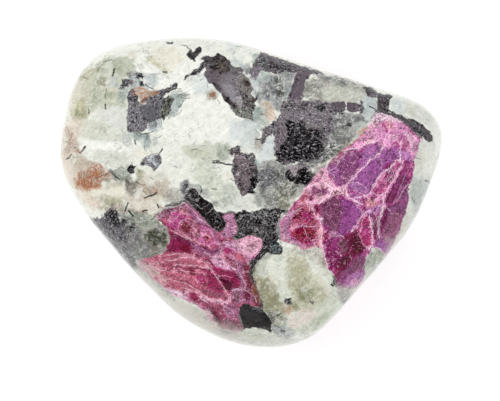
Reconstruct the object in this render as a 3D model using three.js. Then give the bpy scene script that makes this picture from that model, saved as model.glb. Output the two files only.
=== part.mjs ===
// Tumble-polished pebble of ruby-bearing gneiss: one solid, water-smooth stone.
// Units are millimetres, +Z is up. The origin is the centre of the bounding box
// seen from above, on the flat the stone rests on.
//
// The stone is a rounded triangle seen from above. Its broad face is gently
// crowned, its sides roll over to a widest line (the rim) a little below half
// height, and the underside is a little flatter and ends in a worn flat.
// Along the straight upper-right side the roll-over is tight, and along the
// left and lower sides it is generous, as tumbling leaves a stone.
import * as THREE from "three";

// ---- driving dimensions ----------------------------------------------------
// Radius of the widest line from its middle, every 7.5 degrees
// anticlockwise from +X.
const RIM_RADIUS = [
  17.34, 18.4, 19.5, 19.64, 18.4, 16.69, 15.42, 14.59, 14.02, 13.75, 13.77,
  13.99, 14.45, 15.11, 15.85, 16.68, 17.69, 18.94, 20.2, 20.92, 20.8, 20.29,
  19.81, 19.12, 18.0, 16.72, 15.66, 14.9, 14.38, 14.07, 13.98, 14.09, 14.27,
  14.48, 14.76, 15.06, 15.32, 15.55, 15.65, 15.48, 15.03, 14.57, 14.3, 14.3,
  14.56, 15.06, 15.78, 16.55,
];
const RIM_HARMONICS = 15; // how much of the waviness of the list is kept
const CROWN_HEIGHT = 14.4; // top of the broad face above the resting flat
// Height of the widest line above the resting flat, every 60 degrees.
const RIM_HEIGHT = [6.2, 7.2, 6.9, 5.9, 5.6, 5.9];
// How square the roll-over is, above and below the rim, every 30 degrees:
// 2 is an ellipse, and larger numbers are flatter faces with tighter edges.
const UPPER_SQUARENESS = [
  3.2, 3.9, 4.6, 4.0, 3.3, 3.1, 2.95, 2.8, 2.75, 2.9, 2.8, 2.9,
];
const LOWER_SQUARENESS = [
  2.8, 3.0, 3.3, 3.1, 2.8, 2.6, 2.5, 2.6, 2.7, 2.8, 2.7, 2.7,
];
// How fast the corners of the rim die out up and down the stone: level rings
// get rounder towards the middle of each face.
const CORNER_FADE = 0.3;
const WORN_DEPTH = 0.28; // how much of the underside's curve the flat takes off
// Long, shallow swells of the broad face: [height, wave numbers per mm in x
// and y, phase].
const SWELLS = [
  [0.16, 0.19, 0.08, 0.6],
  [0.12, -0.11, 0.23, 2.1],
  [0.07, 0.31, -0.27, 4.0],
];
const CROWN_LEAN = [0.018, -0.01]; // slope of the broad face in x and y

// ---- mesh density ----------------------------------------------------------
const SPOKES = 96;
const UPPER_RINGS = 19; // from the rim up to the middle of the broad face
const LOWER_RINGS = 11; // from the rim down to the edge of the worn flat
const FLAT_RINGS = 3; // across the worn flat

// ---- shape -----------------------------------------------------------------
// A smooth closed curve through evenly spaced values, as a sum of harmonics.
// share is how far out the ring lies: inside 1, the finer harmonics fade.
function ringCurve(values, harmonics) {
  const n = values.length;
  const terms = [];
  for (let k = 0; k <= Math.min(harmonics, Math.floor(n / 2)); k++) {
    let c = 0;
    let s = 0;
    values.forEach((v, i) => {
      c += v * Math.cos((2 * Math.PI * k * i) / n);
      s += v * Math.sin((2 * Math.PI * k * i) / n);
    });
    const scale = (k === 0 || 2 * k === n ? 1 : 2) / n;
    terms.push([c * scale, s * scale]);
  }
  return (angle, share = 1) =>
    terms.reduce(
      (sum, [c, s], k) =>
        sum +
        (c * Math.cos(k * angle) + s * Math.sin(k * angle)) *
          share ** (CORNER_FADE * Math.max(k - 1, 0)),
      0,
    );
}

const rimRadius = ringCurve(RIM_RADIUS, RIM_HARMONICS);
const rimHeight = ringCurve(RIM_HEIGHT, 3);
const upperSquareness = ringCurve(UPPER_SQUARENESS, 4);
const lowerSquareness = ringCurve(LOWER_SQUARENESS, 4);

// A point of the superellipse in its own polar angle: [share of the radius,
// share of the height].
function profile(squareness, slant) {
  const c = Math.abs(Math.cos(slant));
  const s = Math.abs(Math.sin(slant));
  const reach = (c ** squareness + s ** squareness) ** (-1 / squareness);
  return [c * reach, s * reach];
}

// The broad face's swells and lean, faded out towards the rim.
function relief(x, y, rise) {
  let z = CROWN_LEAN[0] * x + CROWN_LEAN[1] * y;
  for (const [height, kx, ky, phase] of SWELLS)
    z += height * Math.sin(kx * x + ky * y + phase);
  return z * rise * rise;
}

// The surface at an angle round the stone and a slant from -90 (under) to 90
// degrees (top), before the flat is worn.
function surface(angle, slant) {
  const rim = rimHeight(angle);
  if (slant >= 0) {
    const [out, up] = profile(upperSquareness(angle), slant);
    const radius = rimRadius(angle, out);
    const x = radius * out * Math.cos(angle);
    const y = radius * out * Math.sin(angle);
    return [x, y, rim + (CROWN_HEIGHT - rim) * up + relief(x, y, up)];
  }
  const [out, down] = profile(lowerSquareness(angle), slant);
  const radius = rimRadius(angle, out);
  return [
    radius * out * Math.cos(angle),
    radius * out * Math.sin(angle),
    rim - (rim + WORN_DEPTH) * down,
  ];
}

// The slant at which the underside's curve meets the flat, by bisection.
function flatSlant(angle) {
  let low = -Math.PI / 2;
  let high = 0;
  for (let i = 0; i < 50; i++) {
    const middle = (low + high) / 2;
    if (surface(angle, middle)[2] < 0) low = middle;
    else high = middle;
  }
  return (low + high) / 2;
}

// ---- the solid -------------------------------------------------------------
// A lathe gives the rings and spokes; each of its points is then moved to the
// stone's surface. Its profile runs from the axis, across the flat, out to the
// rim and back to the axis at the top.
const rings = [];
for (let i = 0; i <= FLAT_RINGS; i++) rings.push({ flat: i / FLAT_RINGS });
for (let i = 1; i <= LOWER_RINGS; i++) rings.push({ lower: i / LOWER_RINGS });
for (let i = 1; i <= UPPER_RINGS; i++) rings.push({ upper: i / UPPER_RINGS });
const last = rings.length - 1;
const guide = rings.map(
  (_, i) =>
    new THREE.Vector2(i === 0 || i === last ? 0 : Math.sin((Math.PI * i) / last), i),
);
const geometry = new THREE.LatheGeometry(guide, SPOKES);
geometry.deleteAttribute("normal");
geometry.deleteAttribute("uv");

const position = geometry.getAttribute("position");
const flatAt = Array.from({ length: SPOKES }, (_, s) =>
  flatSlant((2 * Math.PI * s) / SPOKES),
);
for (let spoke = 0; spoke <= SPOKES; spoke++) {
  const turn = spoke % SPOKES;
  const angle = (2 * Math.PI * turn) / SPOKES;
  rings.forEach((ring, i) => {
    let point;
    if (i === 0) point = [0, 0, 0];
    else if (i === last) point = [0, 0, surface(0, Math.PI / 2)[2]];
    else if (ring.flat !== undefined) {
      const [x, y] = surface(angle, flatAt[turn]);
      point = [x * ring.flat, y * ring.flat, 0];
    } else if (ring.lower !== undefined)
      point = surface(angle, flatAt[turn] * (1 - ring.lower));
    else point = surface(angle, (Math.PI / 2) * ring.upper);
    position.setXYZ(spoke * rings.length + i, ...point);
  });
}

// The origin goes to the middle of the stone's box.
geometry.computeBoundingBox();
const middle = geometry.boundingBox.getCenter(new THREE.Vector3());
geometry.translate(-middle.x, -middle.y, 0);

const stone = new THREE.Mesh(
  geometry,
  new THREE.MeshStandardMaterial({
    color: new THREE.Color(0.66, 0.6, 0.6),
    roughness: 0.25,
    metalness: 0,
  }),
);
stone.name = "ruby_stone";

const polishedRuby = new THREE.Group();
polishedRuby.add(stone);

export default polishedRuby;
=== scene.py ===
"""A polished pebble of ruby rock: raspberry ruby crystals, dark amphibole and
pale feldspar grown together as one stone. Metres, +Z up, one visible piece.

The stone's form is the same rounded solid as the CAD part, rebuilt here as a
much finer mesh with the small relief that polishing leaves. Its grains are a
drawing of outlines and strokes, laid on the stone from above, and a
procedural material adds the fine texture."""

import math

import bpy
import numpy as np
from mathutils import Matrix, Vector


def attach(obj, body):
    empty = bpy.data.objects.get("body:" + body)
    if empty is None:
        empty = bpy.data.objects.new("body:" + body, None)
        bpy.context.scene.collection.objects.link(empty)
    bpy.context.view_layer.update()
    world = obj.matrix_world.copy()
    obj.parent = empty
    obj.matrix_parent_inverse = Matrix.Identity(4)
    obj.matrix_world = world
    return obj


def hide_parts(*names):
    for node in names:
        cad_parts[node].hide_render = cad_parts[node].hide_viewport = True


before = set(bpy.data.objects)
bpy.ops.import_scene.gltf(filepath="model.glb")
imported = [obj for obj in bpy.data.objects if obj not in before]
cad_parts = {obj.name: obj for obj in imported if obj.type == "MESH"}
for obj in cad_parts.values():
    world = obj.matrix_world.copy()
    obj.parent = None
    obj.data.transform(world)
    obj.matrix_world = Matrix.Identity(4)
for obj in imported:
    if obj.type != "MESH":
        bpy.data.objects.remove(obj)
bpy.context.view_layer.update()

# ---- drawing of the minerals ------------------------------------------------
# The grains are drawn as outlines and strokes on the stone's plan, in
# tenths of a millimetre: x to the right and y down from a corner of the plan.
# A tone is an sRGB colour. Each rock patch is (tone, softness, strength,
# outline); later patches lie over earlier ones.
TONE = {
    "white": (0.955, 0.952, 0.940), "milk": (0.925, 0.925, 0.905),
    "cream": (0.925, 0.900, 0.855), "warm": (0.875, 0.835, 0.790),
    "sage": (0.690, 0.715, 0.625), "leaf": (0.640, 0.690, 0.625),
    "pale": (0.762, 0.780, 0.712), "palest": (0.845, 0.858, 0.812),
    "olive": (0.715, 0.695, 0.560), "moss": (0.590, 0.590, 0.460),
    "blue": (0.760, 0.790, 0.805), "bluewhite": (0.855, 0.875, 0.890),
    "teal": (0.660, 0.705, 0.705), "mist": (0.770, 0.785, 0.780),
    "greygreen": (0.610, 0.635, 0.590), "translucent": (0.712, 0.735, 0.705),
    "slate": (0.545, 0.545, 0.570), "ash": (0.520, 0.520, 0.510),
    "char": (0.350, 0.345, 0.345), "soot": (0.270, 0.260, 0.265),
    "rust": (0.765, 0.585, 0.490), "burnt": (0.560, 0.340, 0.205),
    "ochre": (0.740, 0.560, 0.420), "peach": (0.900, 0.825, 0.775),
    "blush": (0.915, 0.865, 0.845), "tan": (0.785, 0.730, 0.675),
    "dun": (0.690, 0.625, 0.585), "smoke": (0.455, 0.420, 0.375),
    "mauve": (0.490, 0.470, 0.500), "bottle": (0.310, 0.310, 0.190),
    "side": (0.805, 0.805, 0.775), "sideright": (0.868, 0.870, 0.858), "sidegrey": (0.700, 0.700, 0.710),
    "orange": (0.745, 0.490, 0.315), "beige": (0.770, 0.740, 0.665), "straw": (0.765, 0.750, 0.660),
    "stone": (0.600, 0.590, 0.590), "dusky": (0.430, 0.415, 0.435),
    "ivory": (0.830, 0.820, 0.750),
    "ecru": (0.830, 0.790, 0.735),
    "lichen": (0.500, 0.485, 0.435),
    "primrose": (0.810, 0.785, 0.670),
    "pewter": (0.505, 0.485, 0.470),
    "gull": (0.690, 0.670, 0.645),
    "heather": (0.570, 0.520, 0.530),
    "flint": (0.460, 0.460, 0.450),
    "khaki": (0.655, 0.615, 0.510),
    "fawn": (0.760, 0.660, 0.580),
    "khakidark": (0.540, 0.520, 0.380),
    "copper": (0.610, 0.350, 0.185),
}
ROCK_BASE = TONE["milk"]
ROCK = [
    # left end: pale green and yellow translucent grains
    ("white", 8, 1.0, "128,60 190,62 250,70 258,130 236,146 180,146 150,120 132,92"),
    ("ivory", 6, 0.90, "84,72 100,62 134,60 132,78 126,96 127,118 96,112 76,116 72,100 76,84"),
    ("pale", 3, 0.95, "102,61 108,58 116,56 124,56 131,59 134,64 134,69 130,74 124,78 118,75 114,72 111,66 106,63"),
    ("moss", 3, 0.90, "97,66 103,66 104,70 102,74 106,78 104,84 99,85 95,80 96,73"),
    ("pale", 3, 0.50, "116,66 126,66 126,76 118,76"),
    ("straw", 3, 0.8, "84,72 92,69 95,74 89,79 82,81 80,77"),
    ("palest", 3, 0.9, "104,66 112,64 113,70 110,77 104,75 101,70"),
    ("palest", 3, 0.8, "93,74 99,75 99,80 93,80"),
    ("blue", 2.5, 0.70, "108,79 118,80 120,87 116,90 108,86"),
    ("sage", 4, 0.75, "92,90 100,88 107,92 121,92 122,98 110,99 98,101 91,97"),
    ("warm", 5, 0.6, "76,82 84,82 82,100 75,107 69,106 71,92"),
    ("pale", 4, 0.9, "88,100 126,103 127,112 116,110 100,109 90,110"),
    ("primrose", 4, 0.90, "75,102 81,98 87,104 87,113 82,119.5 73,119.5 70,114"),
    ("moss", 3, 0.50, "76,113 84,112 83,119.5 76,119.5"),
    ("sideright", 3, 1.00, "92,114 100,109 122,109 127,114 127,133 120,131 108,124.5 98,119.5 90,119"),
    ("sideright", 3, 0.80, "108,110 122,111 124,126 112,122"),
    ("palest", 1.5, 1.00, "78,122 97,119 108,125 118,130 127,133 127,141 110,142 95,140 84,138 76,131"),
    ("warm", 4, 0.15, "84,122 108,126 122,134 122,140 96,138 84,134"),
    ("peach", 4, 0.7, "66,121 80,120 85,126 80,135 71,140 65,134"),
    ("white", 4, 0.90, "75,139 96,141 124,143 126,150 104,152 84,147 76,145"),
    ("tan", 4, 0.70, "63,140 78,142 81,157 70,160 62,152"),
    ("side", 5, 0.60, "92,151 122,152 128,165 112,167 100,163 92,157"),
    ("white", 3, 0.35, "70,138 77,142 80,152 74,157 68,150"),
    ("fawn", 4, 0.70, "75,163 85,157 90,163 88,174 80,179 73,173"),
    ("tan", 3, 0.90, "73,181 80,178 86,172 88,165 93,161.5 99,164 105,170 105,176 99,180 103,187 94,189 86,189 78,187"),
    ("white", 2, 0.60, "92,165 98,166 100,170 95,171 91,169"),
    ("cream", 2, 0.9, "84,192 92,189 106,186.5 121,184.5 124.5,187 123,196 108,198.5 94,197 86,198"),
    ("cream", 2, 0.80, "98,191 110,188 122,188 121,195 106,196"),
    ("dun", 2, 0.80, "99,178 108,175 118,174 122,180 110,181 101,182"),
    ("beige", 2, 0.70, "104,184 122,180 123,184 106,187"),
    ("ecru", 1.5, 0.90, "90,197.5 126,197 126,199 110,199.8 92,199.5"),
    ("peach", 3, 0.90, "86,200 104,200 104,208 92,208"),
    ("straw", 3, 1.0, "102,200 112,199 126,199.5 124,206 114,209 103,207"),
    ("greygreen", 3, 0.90, "109,172 118,168 127,166 128,177 121,181 113,179"),
    ("smoke", 3, 0.95, "124,180 130,178 135,183 137,189 134,195 128,193 126,187"),
    ("soot", 2, 0.4, "130,184 135,186 135,191 131,191"),
    ("khakidark", 3, 0.70, "136,178 142,177 142,186 138,188"),
    ("moss", 2, 0.70, "136,170 143,170 144,177 138,179"),
    ("tan", 6, 0.85, "140,185 154,182 170,184 174,190 164,198 148,196 140,192"),
    ("rust", 4, 0.70, "142,188 156,187 158,191 146,194"),
    ("cream", 5, 0.7, "134,150 146,150 150,156 142,160 134,158"),
    ("ecru", 6, 0.50, "140,172 160,174 168,180 150,184 140,182"),
    ("warm", 6, 0.90, "128,196 160,198 164,206 156,214 138,216 126,212"),
    # upper left: grains round the first dark cluster
    ("teal", 3, 0.80, "119,88 128,88 127,98 125,104 120,99"),
    ("dusky", 2, 0.90, "128,74 134,72 137,76 135,80 129,80"),
    ("blue", 3, 0.8, "143,76 150,74 156,76 158,82 153,88 146,86"),
    ("teal", 2, 0.80, "133,80 140,79 141,86 135,89 130,88"),
    ("primrose", 3, 0.75, "144,57 152,56 158,58 166,65 171,71 165,74 158,67 150,63 144,61"),
    ("cream", 5, 0.90, "154,49 176,47 182,58 174,68 162,62 154,55"),
    ("cream", 3, 0.40, "160,62 172,60 174,70 166,72"),
    ("milk", 4, 0.50, "112,53 128,47 150,43 166,41 168,46 150,49 130,53 114,57"),
    ("white", 3, 0.70, "134,55 146,52 148,64 138,68"),
    ("warm", 2, 0.5, "129,53 135,53 136,57 130,57"),
    ("translucent", 2, 1.00, "136,88 143,86 147,90 152,91 158,89 156,93 151,96 147,99 144,104 141,107 139,104 142,100 137,98 134,96 136,92"),
    ("peach", 1.6, 0.80, "136,90 141,88 145,91 146,96 143,99 140,96 137,95"),
    ("blue", 2, 1.0, "146,121 154,118.5 161,118 162,127 156,130 149,131 146,128"),
    ("slate", 2, 0.80, "150,121.5 157,121 157,127 151,127.5"),
    ("teal", 1.2, 0.9, "144,137 148,136 151,141 149,148.5 145,149 143,145"),
    ("mist", 2, 0.9, "152,139 155.5,138 156.5,143 153,146"),
    ("teal", 2, 0.90, "130,132 142,134.5 151,134 148,138 134,138"),
    ("mist", 3, 0.90, "122,134 131,134 131,143 125,145"),
    ("teal", 2, 0.90, "170,95 178,93 184,96 182,103 179,110 174,115 169,117 166,110 168,101"),
    ("white", 3, 0.70, "165,118 176,116 182,118 172,126 166,134 163,126"),
    ("bluewhite", 5, 0.6, "190,78 204,72 212,84 222,93 214,97 196,93"),
    ("bluewhite", 2, 0.60, "195,89 210,88 214,91 198,92"),
    ("white", 6, 1.0, "180,110 228,112 230,138 204,142 182,140 174,124"),
    ("side", 2.5, 0.90, "206,92 213,89 219,94 214,100 208,99"),
    ("burnt", 2, 0.6, "209,95 214,93.5 215,97.5 210,98.5"),
    # upper middle
    ("bluewhite", 3, 0.8, "228,42 252,49 252,56 240,56 228,50"),
    ("milk", 4, 0.80, "236,44 256,50 254,58 244,60 236,54"),
    ("blue", 2, 0.9, "231,59 240,61 248,66 250,70 244,70 238,67 233,64"),
    ("teal", 2, 0.8, "252,56 258,52 260,58 257,63 253,62"),
    ("slate", 1.5, 0.80, "243,66 248,64 251,70 247,73"),
    ("slate", 3, 1.00, "251,78 262,79 270,74 280,76 286,88 284,100 280,110 270,112 262,108 256,98 252,92"),
    ("sidegrey", 4, 0.50, "268,98 282,96 284,108 274,114 266,108"),
    ("bluewhite", 2, 1.0, "251,80 257,79.5 259,84 258,91 253,89 250.5,84"),
    ("leaf", 1.8, 0.90, "261,73 268,72.5 269,77 264,80 261,77"),
    ("stone", 2.5, 0.70, "259,82 266,84 264,94 259,94"),
    ("side", 3, 0.90, "262,99 269,99 272,108 278,116 276,124 268,128 261,126 260,112"),
    ("white", 2, 0.90, "269,113 277,112 279,119 272,123"),
    ("teal", 2.5, 0.9, "254,107 261,107 262,116 257,121 253,118"),
    ("teal", 3, 0.90, "244,121 262,122 262,130 250,130 242,126"),
    ("slate", 2, 0.80, "280,71 291,70.5 298,73 295,81 291,90 287,98 283,97 285,87 281,80"),
    ("teal", 2, 0.80, "285,86 291,88 288,97 284,98"),
    ("soot", 3, 0.80, "276,80 283,84 284,98 278,98"),
    # middle: milk white with green and yellow shadows
    ("bluewhite", 5, 0.80, "230,122 256,124 259,138 250,148 240,146 230,138"),
    ("mist", 3, 0.4, "246,132 257,130 259,150 252,152"),
    ("palest", 4, 1.00, "184,148 192,144 206,143.5 218,142.5 228,147 228,159 214,163 200,165 191,160 183,153"),
    ("ivory", 3, 0.50, "188,148 206,146 210,156 196,160 188,156"),
    ("greygreen", 3, 0.50, "216,146 228,147 229,158 218,158"),
    ("palest", 5, 1.0, "196,166 212,166 224,178 238,190 240,198 226,207 214,206 208,197 200,187 194,177"),
    ("palest", 4, 0.50, "206,178 216,180 220,192 210,192"),
    ("mist", 5, 0.5, "226,186 238,192 240,206 226,210 218,204"),
    ("milk", 2.5, 1.00, "223,169 229.5,169 231,182 226,184 224,178"),
    ("mauve", 2.5, 0.80, "181,183 187,180 190,186 188,191 184,195 181,190"),
    ("gull", 3, 0.80, "170,188 182,192 186,198 176,204 168,200"),
    ("teal", 2, 1.00, "255,161 262,160.5 264,168 259,171.5 256,168"),
    ("bluewhite", 1.6, 1.0, "259,148 264,142 268,137.5 272,136.5 274.5,148 273,157 268,160 262,163 258,158"),
    ("gull", 2, 1.00, "256,138 262,140 260,150 256,148"),
    ("stone", 3, 1.00, "258,172 266,162 276,162 286,164 294,172 300,184 292,184 282,190 276,198 264,197 257,190"),
    ("char", 2.5, 0.85, "261,172 268,169 273,176 270,186 264,189 259,181"),
    ("soot", 3, 0.60, "274,176 282,172 286,180 278,188"),
    ("lichen", 3, 0.90, "278,186 290,182 300,185 298,193 290,204 284,210 276,208 274,197"),
    ("khaki", 3, 0.45, "280,196 290,194 288,206 280,208"),
    ("sideright", 4, 0.90, "236,196 256,192 258,204 246,210 236,208"),
    ("ash", 3, 0.80, "256,194 276,197 282,206 272,209 256,206"),
    # upper right: grey-green translucent feldspar
    ("gull", 2, 1.00, "305,80 320,77 335,76 352,81 364,86 367,92 365,101 350,102 330,102 318,101 308,99 302,94"),
    ("palest", 3, 0.7, "322,88 340,87 358,91 361,99 342,100 324,98"),
    ("side", 2.5, 0.90, "338,84 350,87 349,96 343,95 338,90"),
    ("ash", 2.5, 0.35, "305,82 318,82 322,96 308,98 304,92"),
    ("slate", 2.5, 0.80, "318,73 334,76 350,81 346,85 332,81 320,79"),
    ("leaf", 2, 0.5, "333,80 340,81 339,86 335,86"),
    ("blue", 2, 1.00, "360,99 370,96 377,98 379,104 376,110 371,117 366,123 364,113 362,105"),
    ("blue", 2.5, 0.60, "368,99 376,99 377,106 372,112 368,106"),
    ("mauve", 3, 0.90, "327,114 350,113 362,114 368,120 365,127 357,137 350,140 346,130 344,118 330,118"),
    ("mist", 3, 0.9, "355,122 366,120 367,126 358,134 352,132"),
    ("dusky", 3, 1.00, "321,118 344,117 348,126 346,138 339,150 329,159 320,160 317,152 321,140 322,128"),
    ("stone", 3, 0.60, "326,120 342,120 344,132 334,140 324,140"),
    ("stone", 3, 0.70, "340,130 356,127 358,136 348,142 340,144"),
    ("mist", 1.6, 1.00, "357,131 363,127.5 370,128 366,132.5 360,138 354,141"),
    ("ochre", 1.0, 0.4, "362,128.5 369,128 366,131"),
    ("soot", 1.6, 0.80, "308,160 318,156 328,150 336,146 338,150 330,157 322,163 314,164 308,164"),
    ("lichen", 1.5, 0.6, "334,160 339,153 344,148 350,145 352,146 345,152 340,157"),
    ("blush", 1.5, 1.00, "314,166 322,164.5 324,169 319,175 314,172"),
    ("dusky", 1.5, 1.00, "295,165 300,161 306,161 307,166 301,172 296,171"),
    ("soot", 2, 0.80, "306,161 318,160 317,166 309,167"),
    ("mist", 2, 0.7, "282,163 294,164 294,172 286,172"),
    # right side of the stone
    ("sideright", 2, 1.0, "391,97 400,99 412,103 424,109 434,120 441,132 444,146 440,165 434,180 426,198 418,215 410,228 402,240 394,250 386,262 382,252 392,240 400,228 406,212 409,200 410,186 413,172 415,160 419,146 418,136 424,141 432,143 434,132 428,124 420,119 410,115 402,113 394,110 389,104"),
    ("bluewhite", 3, 0.9, "394,98 404,100 405,108 398,113 391,106"),
    ("sideright", 3, 0.90, "405,101 418,106 426,114 422,121 412,116 404,111"),
    ("straw", 3, 0.3, "408,106 416,106 418,114 410,114"),
    ("milk", 4, 0.70, "425,146 437,148 434,166 428,174 423,164"),
    ("white", 4, 0.5, "434,122 444,138 441,158 437,150 434,136"),
    ("warm", 3, 0.40, "414,150 422,150 422,168 416,172 413,164"),
    ("mist", 4, 1.00, "411,181 424,178 432,181 427,194 419,208 412,204 409,192"),
    ("sidegrey", 4, 0.5, "422,196 428,190 420,208 414,214 412,208"),
    ("tan", 4, 0.35, "400,222 412,216 406,230 398,240 394,242"),
    ("translucent", 2, 1.0, "366,257 371,251 376,248.5 381,250 386,258 378,270 368,282 360,292 348,302 338,310 338,290 346,289 356,288 364,280 366,272"),
    ("moss", 4, 0.3, "369,254 380,252 384,258 374,264 368,262"),
    ("dusky", 2.5, 0.90, "337,290 350,289 353,296 344,303 338,300"),
    ("side", 3, 0.7, "366,268 374,268 362,286 354,294 348,298 358,288"),
    # pale green-yellow crystal, low in the middle
    ("palest", 1.2, 1.0, "253,270 258,263 264,258 270,254 277,250 284,246.5 290,247.5 296,250.5 303,254 308,258 314,263 321,265 326,268 331,274 334,281 336,288 338,296 340,304 337,312 331,321 320,329 305,334 290,338 278,337 272,331 272,322 268,314 262,306 259,298 257,290 254,281 252,275", 0.25),
    ("ivory", 2.5, 0.80, "262,268 270,262 280,256 292,254 302,258 312,265 322,272 328,282 330,294 324,304 312,310 298,312 284,313 274,312 266,305 261,294 259,282", 0.3),
    ("cream", 4, 0.90, "264,266 272,260 280,262 284,270 283,280 276,288 270,284 266,276", 0.2),
    ("palest", 3, 0.80, "276,282 284,284 290,292 290,302 282,304 276,296", 0.2),
    ("cream", 4, 0.70, "284,258 296,255 306,260 312,268 306,276 296,272 286,268", 0.3),
    ("straw", 4, 0.85, "288,270 300,266 310,274 308,284 300,290 290,288 284,280", 0.3),
    ("beige", 3, 0.55, "290,274 302,272 304,282 294,286 288,280", 0.3),
    ("milk", 3, 0.7, "310,262 320,266 327,276 328,286 320,284 312,276", 0.2),
    ("primrose", 2.4, 0.80, "261,278 267,277 273,283 276,292 275,302 270,308 265,302 261,292", 0.3),
    ("khakidark", 2.2, 0.50, "262,282 268,281 271,288 267,293 262,289", 0.3),
    ("moss", 2.2, 0.35, "269,292 275,293 274,304 270,306", 0.3),
    ("straw", 4, 0.8, "294,292 308,287 324,288 328,298 322,306 308,309 296,303", 0.3),
    ("moss", 2.6, 0.7, "298,292 303,289.5 311,290 314,296 309,300 301,299", 0.4),
    ("olive", 3, 0.5, "312,292 322,291 325,299 318,305 311,303", 0.3),
    ("khaki", 3, 0.80, "276,303 286,303 300,305 300,309 290,312 280,314 275,311", 0.4),
    ("fawn", 1.6, 0.80, "284,305.5 291,305 294,310 290,314 285,312", 0.3),
    ("soot", 4, 0.90, "268,312 278,312 286,318 282,326 273,324"),
    ("blush", 5, 0.9, "288,314 308,311 320,313 314,322 300,328 288,328"),
    ("palest", 4, 0.70, "318,300 336,298 338,306 328,318 316,322"),
    ("sage", 4, 0.45, "304,326 318,318 332,312 326,322 312,330 302,331"),
    ("mist", 3, 0.9, "271,326 280,322 292,330 294,340 284,342 274,336"),
    ("slate", 2.5, 0.4, "274,328 284,326 288,336 278,336"),
    ("warm", 6, 0.40, "56,128 66,122 72,134 71,150 74,166 80,186 70,184 60,162"),
    ("tan", 1.5, 0.5, "325,272 328.5,272 328.5,277 326,277"),
    ("side", 2.5, 0.80, "256,266 262,262 268,264 268,276 262,279 257,276", 0.3),
    ("moss", 2.5, 0.75, "260,280 268,279 276,290 278,302 274,309 266,310 261,300", 0.3),
    ("straw", 3, 0.50, "280,268 292,257 304,258 308,270 300,284 290,290 282,286", 0.3),
    ("moss", 2.0, 0.60, "299,294 304,289 312,290 312,297 304,299 299,299", 0.3),
    ("sage", 3, 0.30, "280,304 300,300 304,306 292,309 282,310", 0.3),
    ("olive", 3, 0.50, "272,310 284,312 286,322 276,324", 0.3),
    ("moss", 1.2, 0.80, "252,266 255,268 257,276 259,285 261,295 264,305 267,311 263,310 259.5,302 257,292 254.5,282 252,272"),
    ("rust", 0.8, 0.60, "254,278 256,279 258.5,288 260,297 258.5,298 256,290"),
    ("dun", 4, 0.8, "298,243 310,248 322,247 327,264 330,274 324,270 314,261 302,253 294,249"),
    ("mauve", 3, 0.60, "300,186 310,176 320,167 326,166 318,176 306,188 298,196"),
    ("ecru", 1.6, 0.25, "300,192 310,180 322,168 334,158 346,147 350,148 338,160 326,170 314,182 304,194"),
    ("dun", 5, 0.6, "194,302 206,306 218,318 226,330 214,328 200,316"),
    # foot of the stone and lower left side
    ("side", 4, 0.9, "234,329 270,332 276,340 300,340 318,333 300,346 260,349 236,344"),
    ("pale", 3, 0.6, "228,332 250,331 268,334 262,342 240,340"),
    ("side", 3, 0.95, "158,288 172,294 188,303 204,308 210,320 220,331 236,340 224,342 206,334 186,322 168,306 152,292"),
    ("blush", 5, 0.50, "180,304 198,312 206,322 196,322 182,312"),
    ("char", 2.5, 0.80, "156,286 163,288 170,292 168,298 160,296"),
    ("bluewhite", 3, 0.6, "160,284 168,288 172,294 164,291"),
    # grey-green translucent grain under the left ruby, out to the rim
    ("gull", 1.6, 0.90, "86,221 97,222 106,226 118,228 126,220 136,217 147,221 157,223 166,226 173,232 174,242 172,248 162,256 152,262 142,266 146,278 138,280 126,272 112,258 98,242 86,230", 0.22),
    ("dusky", 3, 0.85, "90,220 104,222 118,228 126,236 130,246 124,254 112,248 98,236 88,228", 0.3),
    ("mauve", 3, 0.9, "104,232 118,234 130,242 138,254 142,264 138,274 124,266 110,250", 0.25),
    ("pewter", 3, 0.70, "134,238 148,240 164,250 152,260 140,264 134,254", 0.2),
    ("mauve", 3, 0.80, "134,234 146,242 148,254 138,258 132,246", 0.2),
    ("dun", 1.8, 0.85, "106,210 112,205 119,203.5 126,208 134,211 146,212 156,214 158,219 146,215 132,213 120,216 112,214"),
    # Painted shade: a grey band beside the black lath.
    ("stone", 2.5, 0.60, "192,186 200,186 208,192 214,199 220,206 214,206 206,198 198,192"),
    ("greygreen", 2.4, 0.80, "120,216 132,213 146,215 157,219 153,226 146,231 140,226 130,222 122,223", 0.6),
    ("ash", 2.5, 0.70, "124,216 132,218 130,224 124,222"),
    ("soot", 2, 0.50, "158,224 165,229 167,236 162,238 158,232", 0.3),
    ("bottle", 2.2, 0.95, "146,232 152,229 158,230 162,233 165,238 164,243 159,246 152,245 147,241 145,236", 0.3),
    ("bottle", 2, 0.6, "160,240 168,239 166,246 161,248", 0.3),
    ("char", 2, 0.6, "153,229 160,230 162,234 156,233", 0.4),
    ("ash", 2, 0.40, "136,226 144,230 146,236 140,234", 0.4),
    ("greygreen", 3, 0.50, "136,246 142,240 146,246 142,254 136,254", 0.2),
    ("char", 3, 0.60, "128,258 138,262 152,276 160,288 150,286 136,274", 0.3),
    ("mist", 2, 0.7, "94,228 100,232 118,254 134,272 130,272 112,254", 0.3),
    ("heather", 1.4, 0.60, "157,213 161,208 168,205 177,202.5 184,198 187,200 185,204 178,209 168,211.5 160,214.5"),
    ("smoke", 2.0, 0.70, "337,156 345,149.5 352,144 356,140 352,138 344,143 337,148 331,153 328,157 331,158"),
    ("teal", 2.0, 0.70, "125,80 133,78 137,82 136,88 130,90 125,88"),
    ("palest", 2.5, 0.80, "266,262 274,257 282,258 288,266 290,274 286,280 279,280 272,274 266,268", 0.2),
    ("pale", 1.6, 0.70, "278,280 284,280 289,288 291,298 287,300 282,292", 0.2),
    ("peach", 4.0, 0.55, "60,150 70,158 77,172 84,188 92,202 84,202 74,190 66,176 60,162"),
    ("primrose", 4.0, 0.35, "290,276 306,270 318,276 326,288 324,300 312,306 298,304 290,292", 0.3),
    ("heather", 4.0, 0.70, "196,308 210,318 224,328 238,332 238,338 222,336 206,326 194,314"),
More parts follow.
